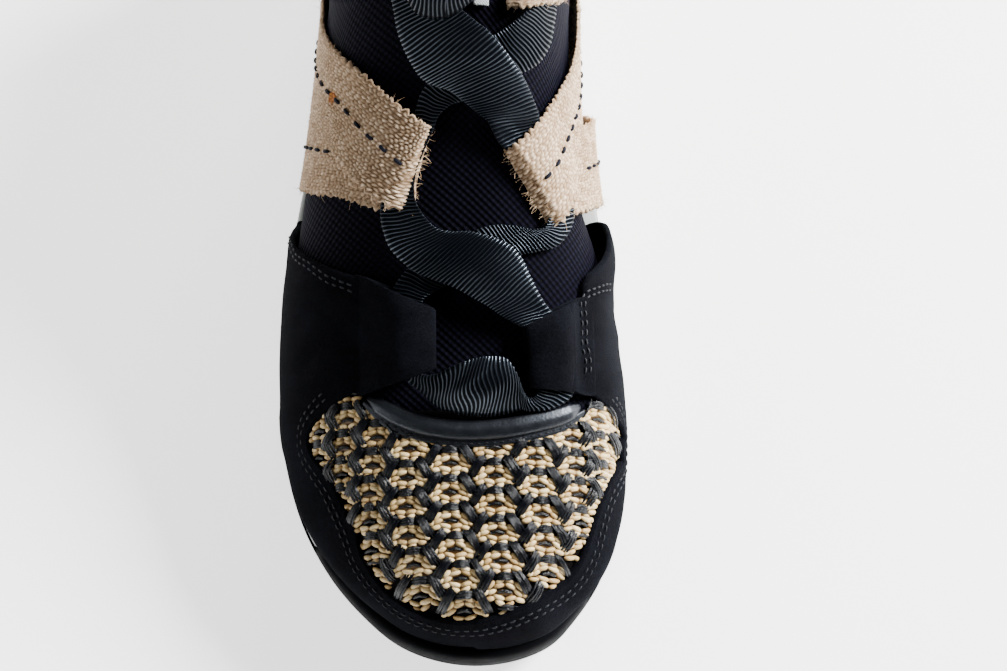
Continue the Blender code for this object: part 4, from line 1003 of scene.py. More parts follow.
# Mudguard.
MUDGUARD = (0.5, 2.4)
WINDOW = (  # s, lateral edge x, medial edge x of the opening for the toe panel
    (10.3, 4.0, 4.0), (12.5, -7.5, 15.0), (16.0, -14.0, 22.5), (22.0, -20.5, 30.0), (28.0, -24.8, 34.3),
    (34.0, -27.0, 37.0), (40.0, -29.7, 39.0), (48.0, -33.5, 42.0), (54.0, -37.5, 44.7), (58.0, -40.0, 46.0),
    (63.0, -40.5, 46.3), (67.0, -37.0, 45.6), (70.5, -32.0, 42.0), (72.5, -28.0, 38.5),
)
THROAT = {LATERAL: -22.8, MEDIAL: 35.4}
THROAT_FRONT = 74.5
REAR_EDGE = {  # s, z of the mudguard's free rear edges, seen from the side
    LATERAL: ((97.5, 66.0), (102.0, 62.5), (110.0, 54.0), (119.0, 41.0), (127.0, 28.0), (131.0, 20.5)),
    MEDIAL: ((93.5, 68.6), (96.5, 62.0), (103.0, 57.0), (112.0, 49.0), (120.0, 42.5), (125.5, 35.0),
             (129.0, 21.5)),
}
WING_STAND_OFF = {LATERAL: 0.6, MEDIAL: 4.0}
WING_START, WING_EASE = 98.0, 24.0
WING_FOOT_Z, WING_FOOT_EASE = 26.0, 12.0
SKIRT_BULGE = (1.35, 23.0, 8.0)  # how far the suede swells over the sole's edge, at what z, over what height
TOE_SIDE_BULGE = {  # more of it, at what s, over what length
    LATERAL: (1.5, 33.0, 20.0), MEDIAL: (3.2, 28.0, 19.0),
}
CREASES = (  # path of (x, s), half width, height
    (((-44, 78), (-38, 84), (-30, 87), (-25, 86)), 2.6, -0.5),
    (((-46, 90), (-40, 95), (-33, 96)), 3.0, -0.45),
    (((40, 80), (44, 86), (46, 94)), 2.6, -0.45),
    (((38, 92), (42, 97), (45, 104)), 2.4, -0.4),
    (((-44, 60), (-47, 66), (-47, 74)), 2.6, 0.35),
    (((-30, 30), (-36, 36), (-40, 44)), 3.2, -0.3),
    (((40, 34), (44, 42), (46, 50)), 3.0, -0.3),
)


def wing_lift(points):
    """Extra offset of the mudguard's rear ends from the form."""
    lateral = points[:, 0] < spine_at(points[:, 1])
    along = np.clip((points[:, 1] - WING_START) / WING_EASE, 0, 1)
    up = np.clip((points[:, 2] - WING_FOOT_Z) / WING_FOOT_EASE, 0, 1)
    stand = np.where(lateral, WING_STAND_OFF[LATERAL], WING_STAND_OFF[MEDIAL])
    return stand * along**2 * (3 - 2 * along) * up


def skirt_swell(points):
    """How far the suede swells out near the sole."""
    lateral = points[:, 0] < spine_at(points[:, 1])
    more = [height * np.exp(-(((points[:, 1] - s) / reach) ** 2)) for height, s, reach in
            (TOE_SIDE_BULGE[LATERAL], TOE_SIDE_BULGE[MEDIAL])]
    height, z, reach = SKIRT_BULGE
    swell = height + np.where(lateral, more[0], more[1])
    return swell * np.exp(-(((points[:, 2] - z) / reach) ** 2))


def smoothed(rows, times_):
    rows = rows.copy()
    for _ in range(times_):
        rows[1:-1] = 0.25 * rows[:-2] + 0.5 * rows[1:-1] + 0.25 * rows[2:]
    return rows


def side_wall(side, s, z):
    """The form's side at a height, seen from the side."""
    start = Vector((side * 300.0, s, z))
    hit = form_tree.ray_cast(start, Vector((-side, 0, 0)))[0]
    if hit is None:
        hit = form_tree.find_nearest(Vector((side * 45.0, s, z)))[0]
    return np.array(hit)


def window_rows(inset=0.0):
    lateral = [(x + inset, s) for s, x, _ in WINDOW[::-1][:-1]]
    medial = [(x - inset, s) for s, _, x in WINDOW[1:]]
    return lateral + [(WINDOW[0][1], WINDOW[0][0] + inset)] + medial


GUARD_STATIONS = 390


def guard_boundary():
    """The mudguard's upper edge, from its lateral rear foot to the medial one."""
    halves = []
    for side in (LATERAL, MEDIAL):
        s, z = rows_of(REAR_EDGE[side][::-1])
        edge = flat_spline(np.column_stack([s, z]), count=60)
        walls = np.array([side_wall(side, a, b) for a, b, _ in edge])
        keep = walls[:, 0] * side > THROAT[side] * side
        walls = walls[keep]
        corner = walls[-1]
        throat_s = np.linspace(corner[1] - 1.5, THROAT_FRONT, 12)
        halves.append((walls, below(np.full(12, THROAT[side]), throat_s)))
    plan = flat_spline(window_rows(), count=200)
    window = below(plan[:, 0], plan[:, 1])
    path = np.concatenate([halves[0][0], halves[0][1], window, halves[1][1][::-1], halves[1][0][::-1]])
    chord = length_along(path)
    return smoothed(path_at(np.linspace(0, chord[-1], GUARD_STATIONS), chord, path), 4)


def form_normals_at(turn, rise):
    eps = 2e-3
    low, high = np.clip(rise - eps, 0, 1), np.clip(rise + eps, 0, 1)
    across = form_points(turn % (2 * math.pi), high) - form_points(turn % (2 * math.pi), low)
    ahead = form_points((turn + eps) % (2 * math.pi), rise)
    behind = form_points((turn - eps) % (2 * math.pi), rise)
    normal = np.cross(across, ahead - behind)
    normal /= np.maximum(np.linalg.norm(normal, axis=-1, keepdims=True), 1e-9)
    return normal


def build_mudguard():
    edge = guard_boundary()
    where = where_on_form(edge)
    turn = np.where(where[:, 0] > math.pi, where[:, 0] - 2 * math.pi, where[:, 0])
    turn = smoothed(turn[:, None], 3)[:, 0]
    rise = where[:, 1]
    foot = smoothed(turn[:, None], 60)[:, 0]
    share = np.linspace(0, 1, 45)[None, :]
    turns = turn[:, None] * (1 - share) + foot[:, None] * share
    rises = rise[:, None] * (1 - share)
    around = turns % (2 * math.pi)
    grid = form_points(around, rises)
    normals = form_normals_at(around, rises)
    outward = grid - np.stack([spine_at(grid[..., 1]), grid[..., 1], np.zeros(grid.shape[:2])], -1)
    normals *= np.sign(np.einsum("ijk,ijk->ij", normals, outward))[..., None]
    skirt = grid[:, -1:].copy()
    skirt[..., 2] = midsole_top_at(skirt[..., 1]) + GAP
    grid = np.concatenate([grid, skirt], 1)
    normals = np.concatenate([normals, normals[:, -1:]], 1)
    shape = grid.shape[:2]
    flat = grid.reshape(-1, 3)
    flat_normals = level_rim(flat, normals.reshape(-1, 3))
    lift = wing_lift(flat)
    crease = troughs(flat, CREASES)
    wander = (np.sin(flat[:, 0] * 0.21 + 1.3 * np.sin(flat[:, 1] * 0.13))
              * np.sin(flat[:, 1] * 0.17 + flat[:, 2] * 0.2))
    inner, outer = MUDGUARD
    points, faces = slab(grid, (inner + lift).reshape(shape),
                         (outer + lift + crease + skirt_swell(flat) + 0.12 * wander).reshape(shape),
                         flat_normals.reshape(*shape, 3), rounding=0.7, steps=4)
    points = settled(points, GAP + 0.1)
    points, faces = welded(points, turned_out(points, faces).tolist())
    return piece("mudguard_suede", points, faces, suede, slot="suede_black", node="mudguard")


# Toe panel, piping and tunnels.
PIPING = (  # x, s of the rolled edge's middle, its width
    (-25.8, 71.0, 2.6), (-21.0, 68.2, 4.6), (-13.5, 64.2, 5.4), (-5.5, 61.8, 5.6), (4.0, 60.8, 5.6),
    (12.5, 61.2, 5.6), (21.0, 62.8, 5.6), (29.0, 65.2, 5.4), (34.8, 68.4, 4.4), (36.8, 70.0, 2.8),
)
PIPING_TRIM, PIPING_FLATNESS, OVERLAY_LIFT, FLANGE = 1.5, 0.62, 0.5, 1.7
TUNNEL_HALF_WIDTH = {LATERAL: 8.9, MEDIAL: 7.6}
TUNNEL_HALF_HEIGHT, TUNNEL_WALL = 3.6, 1.2
TUNNELS = {  # x, s of the tunnel's middle at its lower and upper end, slant of the upper mouth
    LATERAL: ((-13.2, 75.4), (-13.2, 96.8), -4.0), MEDIAL: ((26.6, 73.0), (25.6, 92.5), 4.0),
}
APRON = {LATERAL: 6.0, MEDIAL: 5.5}  # how far its suede runs out over the mudguard
APRON_LIFT = {LATERAL: 1.5, MEDIAL: 2.5}  # how high its top lies there
FRONT_SLANT = {LATERAL: 2.6, MEDIAL: 0.4}  # how much its front slants


BACKING_ROWS, BACKING_COLUMNS = 81, 61


def build_shade_sheet():
    """A near-black shell under the weave, out to the window's edge, standing in as painted shade for the gaps
    between the woven blocks.
    """
    plan = np.array(window_rows(-0.6), float)
    half = len(plan) // 2
    lateral = flat_spline(plan[:half + 1], count=BACKING_ROWS)
    medial = flat_spline(plan[half:][::-1], count=BACKING_ROWS)
    s = np.linspace(10.6, 66.0, BACKING_ROWS)
    left = np.interp(s, lateral[::-1, 1], lateral[::-1, 0])
    right = np.interp(s, medial[::-1, 1], medial[::-1, 0])
    share = np.linspace(0, 1, BACKING_COLUMNS)[None, :]
    x = left[:, None] * (1 - share) + right[:, None] * share
    spots, normals = lay(below(x, np.broadcast_to(s[:, None], x.shape)))
    points, faces = slab(spots.reshape(*x.shape, 3), 0.45, 1.0, normals.reshape(*x.shape, 3), 0.1, 1)
    return piece("toe_shade_sheet", points, turned_out(points, faces), shade_sheet, slot="raffia_natural",
                 node="toe_panel")


COLUMNS = (  # x of a column of blocks at its rear, middle and front, s of its first and last block, blocks
    ((-37.0, -37.6, -38.0), 69.8, 48.2, 4), ((-28.4, -30.6, -31.4), 71.8, 42.9, 5),
    ((-20.4, -23.3, -22.3), 66.8, 21.8, 7), ((-11.7, -13.0, -7.6), 63.7, 8.7, 8),
    ((-0.7, -0.7, 3.2), 59.5, 12.5, 7), ((11.4, 12.0, 14.8), 63.9, 9.5, 8),
    ((22.2, 24.3, 26.6), 61.3, 14.9, 7), ((31.8, 34.2, 35.6), 66.7, 29.4, 6),
    ((39.8, 40.6, 41.6), 65.7, 42.2, 4), ((45.6, 45.2, 45.0), 69.9, 50.1, 4),
)
PUFFS = (  # place along and across a half block, slant outwards and down in degrees, length
    (2.75, 1.3, 26, 2.6), (1.55, 1.6, 20, 3.1), (1.35, 4.0, 32, 2.9), (-0.05, 3.75, 26, 3.0),
    (-0.5, 5.4, 36, 1.9), (-1.35, 1.6, -12, 3.1), (-1.75, 4.2, 12, 2.8), (-2.7, 1.35, -24, 2.5),
)
EDGE_COLUMN = 44.0  # the straws stop short of the column past this x
UNDERLAY = ((3.1, 3.4), (1.9, 5.2), (-0.1, 5.9), (-1.7, 4.6))  # the strands under a block: place along, reach; their dark tone is painted shade between its puffs
PUFF = (1.6, 1.3)  # width and height of a puff
STRAW = ((2.7, 6.0), (7.0, -0.6))  # the straw beside a block, from its rear end to its outer end
TIE_PLACE = 4.1
TIES = (  # strands across a block, from TIE_PLACE: place along, reach, height at the ends, rise between
    (-0.6, 2.5, 1.05, 1.05), (0.1, 2.5, 1.05, 1.05), (0.8, 2.5, 1.05, 1.05), (-3.7, 1.9, 1.6, 0.1),
)
WEAVE_SQUEEZE = 0.06  # how much narrower the outermost columns are


def blocks():
    """Middles of the woven blocks, with how wide each is."""
    out = []
    for (rear, middle, front), first, last, count in COLUMNS:
        column = curve((0.0, 0.5, 1.0), (rear, middle, front), np.array((middle - rear, front - rear,
                                                                         front - middle)) * 1.0)
        for share in np.linspace(0, 1, count):
            x = float(column(share))
            wide = 1.0 - WEAVE_SQUEEZE * ((x - 5.0) / 14.0) ** 2 / 2
            out.append((x, first + share * (last - first), wide))
    return out


def inside_window(x, s, margin):
    side_s, lateral, medial = rows_of(WINDOW)
    left, right = np.interp(s, side_s, lateral) + margin, np.interp(s, side_s, medial) - margin
    px, ps, width = rows_of(PIPING)
    rear = np.interp(x, px, ps - width / 2) if px[0] < x < px[-1] else 72.5
    return WINDOW[0][0] + 0.5 * margin < s < rear - 0.6 and left < x < right


def rod(path, normals, radii, flatness=1.0, sides=8):
    """A tapered rod along a path. radii gives a radius at each point."""
    along = np.gradient(path, axis=0)
    along /= np.linalg.norm(along, axis=1, keepdims=True)
    across = np.cross(along, normals)
    across /= np.linalg.norm(across, axis=1, keepdims=True)
    up = np.cross(across, along)
    angles = np.linspace(0, 2 * math.pi, sides + 1)[:-1]
    radii = np.asarray(radii)[:, None, None]
    rings = path[:, None] + radii * (np.cos(angles)[None, :, None] * across[:, None]
                                     + flatness * np.sin(angles)[None, :, None] * up[:, None])
    points = rings.reshape(-1, 3)
    faces = [list(f) for f in grid_faces(len(path), sides, wrap_columns=True)]
    if np.einsum("ij,ij->i", points[:sides] - path[0],
                 np.cross(points[sides:2 * sides] - points[:sides],
                          np.roll(points[:sides], -1, axis=0) - points[:sides])).sum() > 0:
        faces = [f[::-1] for f in faces]
        caps = [list(range(sides))[::-1], list(range(len(points) - sides, len(points)))]
    else:
        caps = [list(range(sides)), list(range(len(points) - sides, len(points)))[::-1]]
    caps = [c[::-1] for c in caps]
    return points, faces + caps


def build_weave():
    puffs, puff_tones, straws, straw_uvs = [], [], [], []
    share = np.array((0.0, 0.07, 0.2, 0.4, 0.6, 0.8, 0.93, 1.0))
    size = np.array((0.2, 0.62, 0.9, 1.0, 1.0, 0.9, 0.62, 0.2))
    width, height = PUFF
    for x0, s0, wide in blocks():
        for ds, reach in UNDERLAY:
            where = np.linspace(-1, 1, 9)
            x = x0 + reach * wide * where
            s = s0 + ds - 0.34 * reach * np.abs(where)
            if not (inside_window(x[0], s[0], -0.4) and inside_window(x[-1], s[-1], -0.4)):
                continue
            spots, normals = lay(below(x, s))
            radii = 1.15 * np.sqrt(1.04 - where**2)
            puffs.append(rod(spots + normals * 0.75, normals, radii, 0.55))
            # The strands under a block get a low tone: painted shade in the hollows between its puffs.
            puff_tones.append(np.tile(rng.uniform(0.02, 0.16), len(puffs[-1][0])))
        for side in (-1, 1):
            for ds, dx, slant, length in PUFFS:
                x, s = x0 + side * dx * wide, s0 + ds + rng.uniform(-0.12, 0.12)
                if not inside_window(x, s, -0.6):
                    continue
                slant = -side * math.radians(slant + rng.uniform(-8, 8))
                half = 1.12 * length * wide / 2 * rng.uniform(0.92, 1.1)
                ends = (share - 0.5) * 2 * half
                spots, normals = lay(below(x + ends * math.cos(slant), s + ends * math.sin(slant)))
                lift = 0.8 + 0.45 * height * np.sin(math.pi * np.clip(share, 0.02, 0.98)) ** 0.6
                radii = size * width / 2 * rng.uniform(0.9, 1.06)
                points, faces = rod(spots + normals * lift[:, None], normals, radii, height / width)
                puffs.append((points, faces))
                # A puff's tone: a random base, darker towards its tapered ends as painted shade, and lighter
                # over its top and underside than on its flanks, painted shading of its roundness.
                base = rng.uniform(0.5, 0.9)
                top = np.tile(np.sin(np.linspace(0, 2 * math.pi, 9)[:-1]), len(share))
                painted_end_shade = np.repeat(0.45 * (1 - size), 8)
                puff_tones.append(np.clip(base - painted_end_shade + 0.22 * np.abs(top) - 0.25, 0, 1))
        for side in (-1, 1) if x0 < EDGE_COLUMN else ():
            (ax, a_s), (bx, b_s) = STRAW
            for strand, offset in enumerate((-1.02, -0.34, 0.34, 1.02)):
                start = np.array((x0 + side * (ax * wide), s0 + a_s))
                end = np.array((x0 + side * (bx * wide), s0 + b_s))
                direction = (end - start) / np.linalg.norm(end - start)
                normal2 = np.array((-direction[1], direction[0]))
                start = start + normal2 * offset * 0.8 + rng.uniform(-0.15, 0.15, 2)
                end = end + normal2 * offset * 1.0 + rng.uniform(-0.2, 0.2, 2)
                where = np.linspace(0, 1, 11)[:, None]
                bow = 0.12 * side * np.sin(math.pi * where) * normal2
                plan = start * (1 - where) + end * where + bow
                if not all(inside_window(*plan[k], -0.9) for k in (2, 8)):
                    continue
                spots, normals = lay(below(plan[:, 0], plan[:, 1]))
                lift = 1.1 + (1.35 + (0.2 if strand in (1, 2) else 0.0) + rng.uniform(-0.1, 0.1)) * np.sin(
                    math.pi * where[:, 0]) ** 0.8
                radii = 0.42 * (0.5 + 0.5 * np.sin(math.pi * where[:, 0]) ** 0.5) * rng.uniform(0.9, 1.15)
                points, faces = rod(spots + normals * lift[:, None], normals, radii, 0.75)
                straws.append((points, faces))
                straw_uvs.append(np.column_stack([np.repeat(rng.uniform(0, 90), len(points))
                                                  + np.tile(np.arange(8) * 0.33, 11),
                                                  np.repeat(where[:, 0] * 6.5, 8)]))
        for offset, reach, low, rise in TIES:
            where = np.linspace(-1, 1, 9)
            x, s = x0 + reach * wide * where, s0 + TIE_PLACE + offset - 0.5 * np.abs(where)
            if not (inside_window(x[1], s[1], -0.5) and inside_window(x[-2], s[-2], -0.5)):
                continue
            spots, normals = lay(below(x, s))
            lift = low + rise * np.cos(where * math.pi / 2)
            radii = 0.5 * (0.5 + 0.5 * np.cos(where))
            points, faces = rod(spots + normals * lift[:, None], normals, radii, 0.8)
            straws.append((points, faces))
            straw_uvs.append(np.column_stack([np.repeat(rng.uniform(0, 90), len(points))
                                              + np.tile(np.arange(8) * 0.33, 9), np.repeat(where * 2, 8)]))
    piece("raffia_puffs", *joined(puffs), raffia, tone=np.concatenate(puff_tones), slot="raffia_natural",
          node="toe_panel")
    piece("raffia_straws", *joined(straws), straw_black, uv=np.concatenate(straw_uvs), slot="raffia_natural",
          node="toe_panel")


WINDOW_SEAM = (2.4, 4.2)  # rows of stitches round the window, outside its edge
SEAMS = (  # path of (x, s), rows, gap between them, lift
    (((41.5, 104.8), (38.6, 102.0), (35.4, 99.2), (34.2, 96.0), (35.0, 91.0), (35.2, 85.5),
      (36.2, 80.5), (36.0, 76.0)), 2, 1.7, 2.8),
    (((-46.0, 121.0), (-43.5, 113.5), (-38.6, 107.4), (-31.8, 102.0), (-25.4, 99.0)), 2, 1.7, 2.4),
)


def even_path(points, step):
    """A 3D path resampled evenly and smoothed."""
    chord = length_along(points)
    even = np.linspace(0, chord[-1], max(int(chord[-1] / step), 4))
    return smoothed(path_at(even, chord, points), 6)


def lay_seam(spots, offsets, radius=0.24, length=1.7, skip=1.0, lift_by=2.4):
    """Rows of stitches on the suede beside a 3D path, at the offsets to its right."""
    parts = []
    spots = even_path(spots, 0.8)
    spots, normals = lay(spots)
    along = np.gradient(spots, axis=0)
    across = np.cross(along, normals)
    across = smoothed(across / np.linalg.norm(across, axis=1, keepdims=True), 8)
    for offset in offsets:
        line, line_normals = lay(spots + across * offset)
        line, line_normals = smoothed(line, 6), smoothed(line_normals, 6)
        lift = lift_by + wing_lift(line) + skirt_swell(line)
        parts += stitches(line + line_normals * lift[:, None], line_normals, length, skip, radius)
    return parts


def build_stitching():
    parts = []
    for path, rows, gap, lift_by in SEAMS:
        path = flat_spline(path, step=0.7)
        waver = np.arange(len(path)) * 0.7
        path[:, 0] += 0.3 * np.sin(waver / 1.9) + 0.2 * np.sin(waver / 0.9 + 1)
        offsets = [gap * (row - (rows - 1) / 2) for row in range(rows)]
        parts += lay_seam(below(path[:, 0], path[:, 1]), offsets, lift_by=lift_by)
    plan = flat_spline(window_rows(), count=240)
    parts += lay_seam(below(plan[8:-6, 0], plan[8:-6, 1]), WINDOW_SEAM)
    px, ps, width = rows_of(PIPING)
    xs = np.linspace(-21.0, 33.5, 60)
    front = curve(px, ps)(xs) - curve(px, width)(xs) / 2 - 0.8
    parts += lay_seam(below(xs, front), (0.0,), radius=0.2, length=1.3, skip=0.9, lift_by=2.2)
    piece("suede_stitching", *joined(parts), thread, slot="suede_black")


def build_piping():
    px, ps, width = rows_of(PIPING)
    stations, sides = 161, 28
    s_at, width_at = curve(px, ps), curve(px, width)
    coarse = np.linspace(px[0] + PIPING_TRIM, px[-1] - PIPING_TRIM, 25)
    spots, normals = lay(below(coarse, s_at(coarse)))
    rows, _ = spline(np.column_stack([spots, normals]), count=stations)
    spots, normals = rows[:, :3], rows[:, 3:] / np.linalg.norm(rows[:, 3:], axis=1, keepdims=True)
    along = np.gradient(spots, axis=0)
    across = np.cross(along, normals)
    across /= np.linalg.norm(across, axis=1, keepdims=True)
    half = smoothed(width_at(spots[:, :1]), 12)[:, 0] / 2
    where = np.linspace(0, 1, stations)
    spots, across, normals = smoothed(spots, 30), smoothed(across, 30), smoothed(normals, 30)
    angles = np.linspace(0, 2 * math.pi, sides + 1)[:-1]
    rings = []
    for n in range(stations):
        end = min(n, stations - 1 - n)
        h = half[n] * math.sqrt(min(1.0, (end + 0.6) / 12))
        height = PIPING_FLATNESS * h
        centre = spots[n] + normals[n] * (OVERLAY_LIFT + height)
        dip = np.exp(-((np.cos(angles) * 1.0 + 0.55) / 0.16) ** 2) * (np.sin(angles) > 0) * 0.22
        radius_up = np.sin(angles) * (height - dip * (np.sin(angles) > 0))
        rings.append(centre + np.cos(angles)[:, None] * across[n] * h + radius_up[:, None] * normals[n])
    points = np.array(rings).reshape(-1, 3)
    faces = [list(f) for f in grid_faces(stations, sides, wrap_columns=True)]
    last = (stations - 1) * sides
    faces += [list(range(sides)), [last + j for j in range(sides - 1, -1, -1)]]
    shares = np.linspace(0, 1, 6)[None, :, None]
    taper = np.clip(np.minimum(where, 1 - where) * 9, 0, 1)[:, None, None]
    reach = half[:, None, None] * 0.6 + shares * (half[:, None, None] * 0.4 + FLANGE * taper)
    flange = spots[:, None] + reach * across[:, None]
    flat_points, flat_faces = slab(flange, 0.5, 2.25, np.repeat(normals[:, None], 6, axis=1), 0.3, 3)
    flat_faces = turned_out(flat_points, flat_faces).tolist()
    if volume_of(points, faces) < 0:
        faces = [face[::-1] for face in faces]
    piece("piping_roll", *joined([(points, faces), (flat_points, flat_faces)]), leather, slot="leather_black",
          node="throat_piping")


def build_tunnel(side, name):
    (x0, s0), (x1, s1), slant = TUNNELS[side]
    count, stations = 72, 25
    angles = np.linspace(0, 2 * math.pi, count + 1)[:-1]
    cosine = np.sign(np.cos(angles)) * np.abs(np.cos(angles)) ** 0.95
    rings = []
    for share in np.linspace(0, 1, stations):
        x, s = x0 + share * (x1 - x0), s0 + share * (s1 - s0)
        _, normal = lay(below(x, s))
        across = np.cross((x1 - x0, s1 - s0, 0.0), normal[0])
        across *= np.sign(across[0]) / np.linalg.norm(across)
        crumple = 0.22 * np.sin(3 * angles + 5 * share + side) * np.sin(2.5 * math.pi * share + 1)
        for wall in (0.0, TUNNEL_WALL):
            half, height = TUNNEL_HALF_WIDTH[side] - wall, TUNNEL_HALF_HEIGHT - wall
            outward = np.clip(side * cosine, 0, 1)
            spread = APRON[side] * outward**2 if wall == 0 else 0.0
            sideways = half * cosine + side * spread
            shear = (slant * share - side * FRONT_SLANT[side] * (1 - share)) * sideways / half
            spots, ups = lay(below(x + sideways * across[0], s + shear))
            rounded = 1 - 0.3 * (2 * share - 1) ** 6
            top = (height * rounded + (crumple if wall == 0 else 0.5 * crumple)
                   * (np.sin(angles) > -0.2)) * np.sin(angles)
            lift = OVERLAY_LIFT + TUNNEL_HALF_HEIGHT + top
            if wall == 0:
                drop = np.clip(outward / 0.8, 0, 1) ** 2
                drop = drop**2 * (3 - 2 * drop) if side == MEDIAL else outward**2
                low = 0.5 + (APRON_LIFT[side] - 0.5) * (0.5 + 0.5 * np.tanh(8 * np.sin(angles)))
                lift = lift * (1 - drop) + drop * low
            rings.append(spots + ups * lift[:, None])
    outer, inner = rings[0::2], rings[1::2]

    def lip(a, b, towards):
        out = []
        for share in (0.25, 0.5, 0.75):
            out.append((1 - share) * a + share * b + towards * 0.7 * math.sin(math.pi * share))
        return out
    first = (outer[0] - outer[1]).mean(0)
    first /= np.linalg.norm(first)
    final = (outer[-1] - outer[-2]).mean(0)
    final /= np.linalg.norm(final)
    loops = outer + lip(outer[-1], inner[-1], final) + inner[::-1] + lip(inner[0], outer[0], first)
    points = np.array(loops).reshape(-1, 3)
    faces = grid_faces(len(loops), count, wrap_rows=True, wrap_columns=True)
    faces = turned_out(points, faces)
    return piece(name + "_suede", points, faces, suede, slot="suede_black", node=name)


# Straps.
WEBBING_WIDTH, UNDER_WIDTH, WEBBING_THICK = 25.0, 24.0, 1.5
STRAPS = {  # x, s, z, lift: the strap over the lace, from its loop back to the sole, and the one under it
    "front_lateral": (
        ((-9.6, 128.0, 83.0, 1.9), (-10.8, 128.4, 82.8, 4.1), (-12.6, 129.4, 82.6, 4.9),
         (-15.6, 132.0, 82.4, 5.0), (-19.0, 136.0, 81.8, 4.4), (-23.6, 141.0, 80.4, 2.9),
         (-28.6, 147.2, 79.0, 1.7), (-33.6, 156.0, 72.0, 1.4), (-37.4, 167.0, 61.0, 1.5),
         (-39.6, 180.0, 50.0, 1.9), (-39.8, 193.0, 39.0, 2.2), (-38.5, 202.5, 31.5, 1.6)),
        ((-10.4, 128.2, 80.0, 1.2), (-15.4, 129.0, 79.0, 1.2), (-23.0, 132.2, 77.0, 1.2),
         (-30.0, 135.8, 73.0, 1.2), (-36.5, 140.0, 63.0, 1.3), (-41.5, 145.0, 51.0, 1.5),
         (-44.0, 149.8, 38.0, 1.6), (-44.0, 154.0, 27.6, 1.3)),
    ),
    "front_medial": (
        ((20.9, 124.0, 77.0, 1.9), (21.7, 125.2, 76.7, 4.1), (22.8, 127.0, 76.3, 4.9),
         (24.2, 129.6, 75.5, 5.0), (25.8, 132.8, 74.5, 4.6), (28.2, 138.0, 72.0, 3.2),
         (31.2, 145.6, 67.6, 2.4), (34.8, 155.0, 60.6, 2.5), (37.2, 167.0, 52.0, 2.8),
         (38.2, 179.0, 44.0, 2.8), (37.6, 190.0, 36.5, 2.4), (36.4, 198.0, 31.0, 1.6)),
        ((26.4, 129.6, 72.0, 1.2), (27.4, 130.2, 70.8, 1.4), (29.2, 131.4, 68.4, 2.0),
         (32.6, 133.6, 63.0, 3.0), (37.0, 138.4, 53.0, 5.2), (39.4, 143.6, 42.0, 6.4),
         (39.2, 148.4, 32.0, 5.0), (38.0, 151.4, 26.6, 3.4)),
    ),
    "ankle_lateral": (
        ((-15.6, 183.4, 116.6, 1.9), (-17.0, 184.2, 115.4, 4.7), (-18.6, 185.2, 114.0, 5.7),
         (-20.8, 186.4, 111.0, 6.1), (-23.4, 188.4, 107.0, 5.4), (-26.4, 191.6, 99.6, 3.0),
         (-29.6, 196.0, 88.0, 1.7), (-32.6, 207.0, 75.0, 1.6), (-34.6, 218.0, 61.0, 1.8),
         (-34.4, 228.5, 47.0, 2.0), (-32.6, 236.0, 36.0, 1.4)),
        ((-16.4, 183.8, 114.0, 1.2), (-19.4, 185.4, 109.4, 1.4), (-23.0, 187.6, 104.0, 1.7),
         (-27.0, 192.4, 96.0, 1.7)),
    ),
    "ankle_medial": (
        ((16.8, 177.4, 115.0, 1.9), (18.0, 178.2, 113.4, 4.3), (19.6, 179.4, 111.4, 5.0),
         (22.0, 181.2, 107.6, 5.1), (24.2, 183.4, 103.0, 4.4), (27.2, 188.4, 94.6, 2.6),
         (30.4, 195.2, 83.0, 1.7), (32.8, 206.0, 71.0, 1.6), (34.0, 217.5, 58.0, 1.8),
         (33.2, 228.0, 45.0, 2.0), (31.4, 235.0, 36.0, 1.4)),
        ((16.4, 176.6, 113.0, 1.2), (20.2, 179.2, 108.0, 1.2), (24.2, 182.8, 100.0, 1.3),
         (27.8, 188.4, 91.0, 1.4)),
    ),
}
GRAIN = (1.8, 1.02)  # length and width of one yarn grain of the webbing
SKEW = {"front_lateral": 0.0, "front_medial": -3.4, "ankle_lateral": -1.0, "ankle_medial": 1.0}
SKEW_REACH = 16.0  # along the strap from its loop


def strap_grid(rows, width, skew, fineness):
    """The middle layer of a strap laid on the form: a fine grid, its normals, and the place of each
    point along and across the strap."""
    path, where = spline(rows, step=2.4)
    spots, normals = lay(path[:, :3])
    along = np.gradient(spots, axis=0)
    across = np.cross(along, normals)
    across *= width / 2 / np.linalg.norm(across, axis=1, keepdims=True)
    along /= np.linalg.norm(along, axis=1, keepdims=True)
    shares = np.linspace(-1, 1, 11)
    slide = skew * np.exp(-((where / SKEW_REACH) ** 2))
    sideways = (spots[:, None] + shares[None, :, None] * across[:, None]
                + (shares[None, :] * slide[:, None])[..., None] * along[:, None])
    places, ups = lay(sideways.reshape(-1, 3))
    coarse = (places + ups * np.repeat(path[:, 3], 11)[:, None]).reshape(len(path), 11, 3)
    length = np.linalg.norm(np.diff(coarse[:, 5], axis=0), axis=1).sum()
    rows_count, column_count = int(length / fineness), int(width / (fineness * 0.86))
    grid = refine(coarse, rows_count, column_count)
    normals = grid_normals(grid)
    if (normals[::9, ::9] * lay(grid[::9, ::9].reshape(-1, 3))[1].reshape(grid[::9, ::9].shape)).sum() < 0:
        normals = -normals
    u = np.linspace(0, length, rows_count)[:, None] + np.zeros((1, column_count))
    v = np.linspace(-width / 2, width / 2, column_count)[None, :] + np.zeros((rows_count, 1))
    return grid, normals, u, v


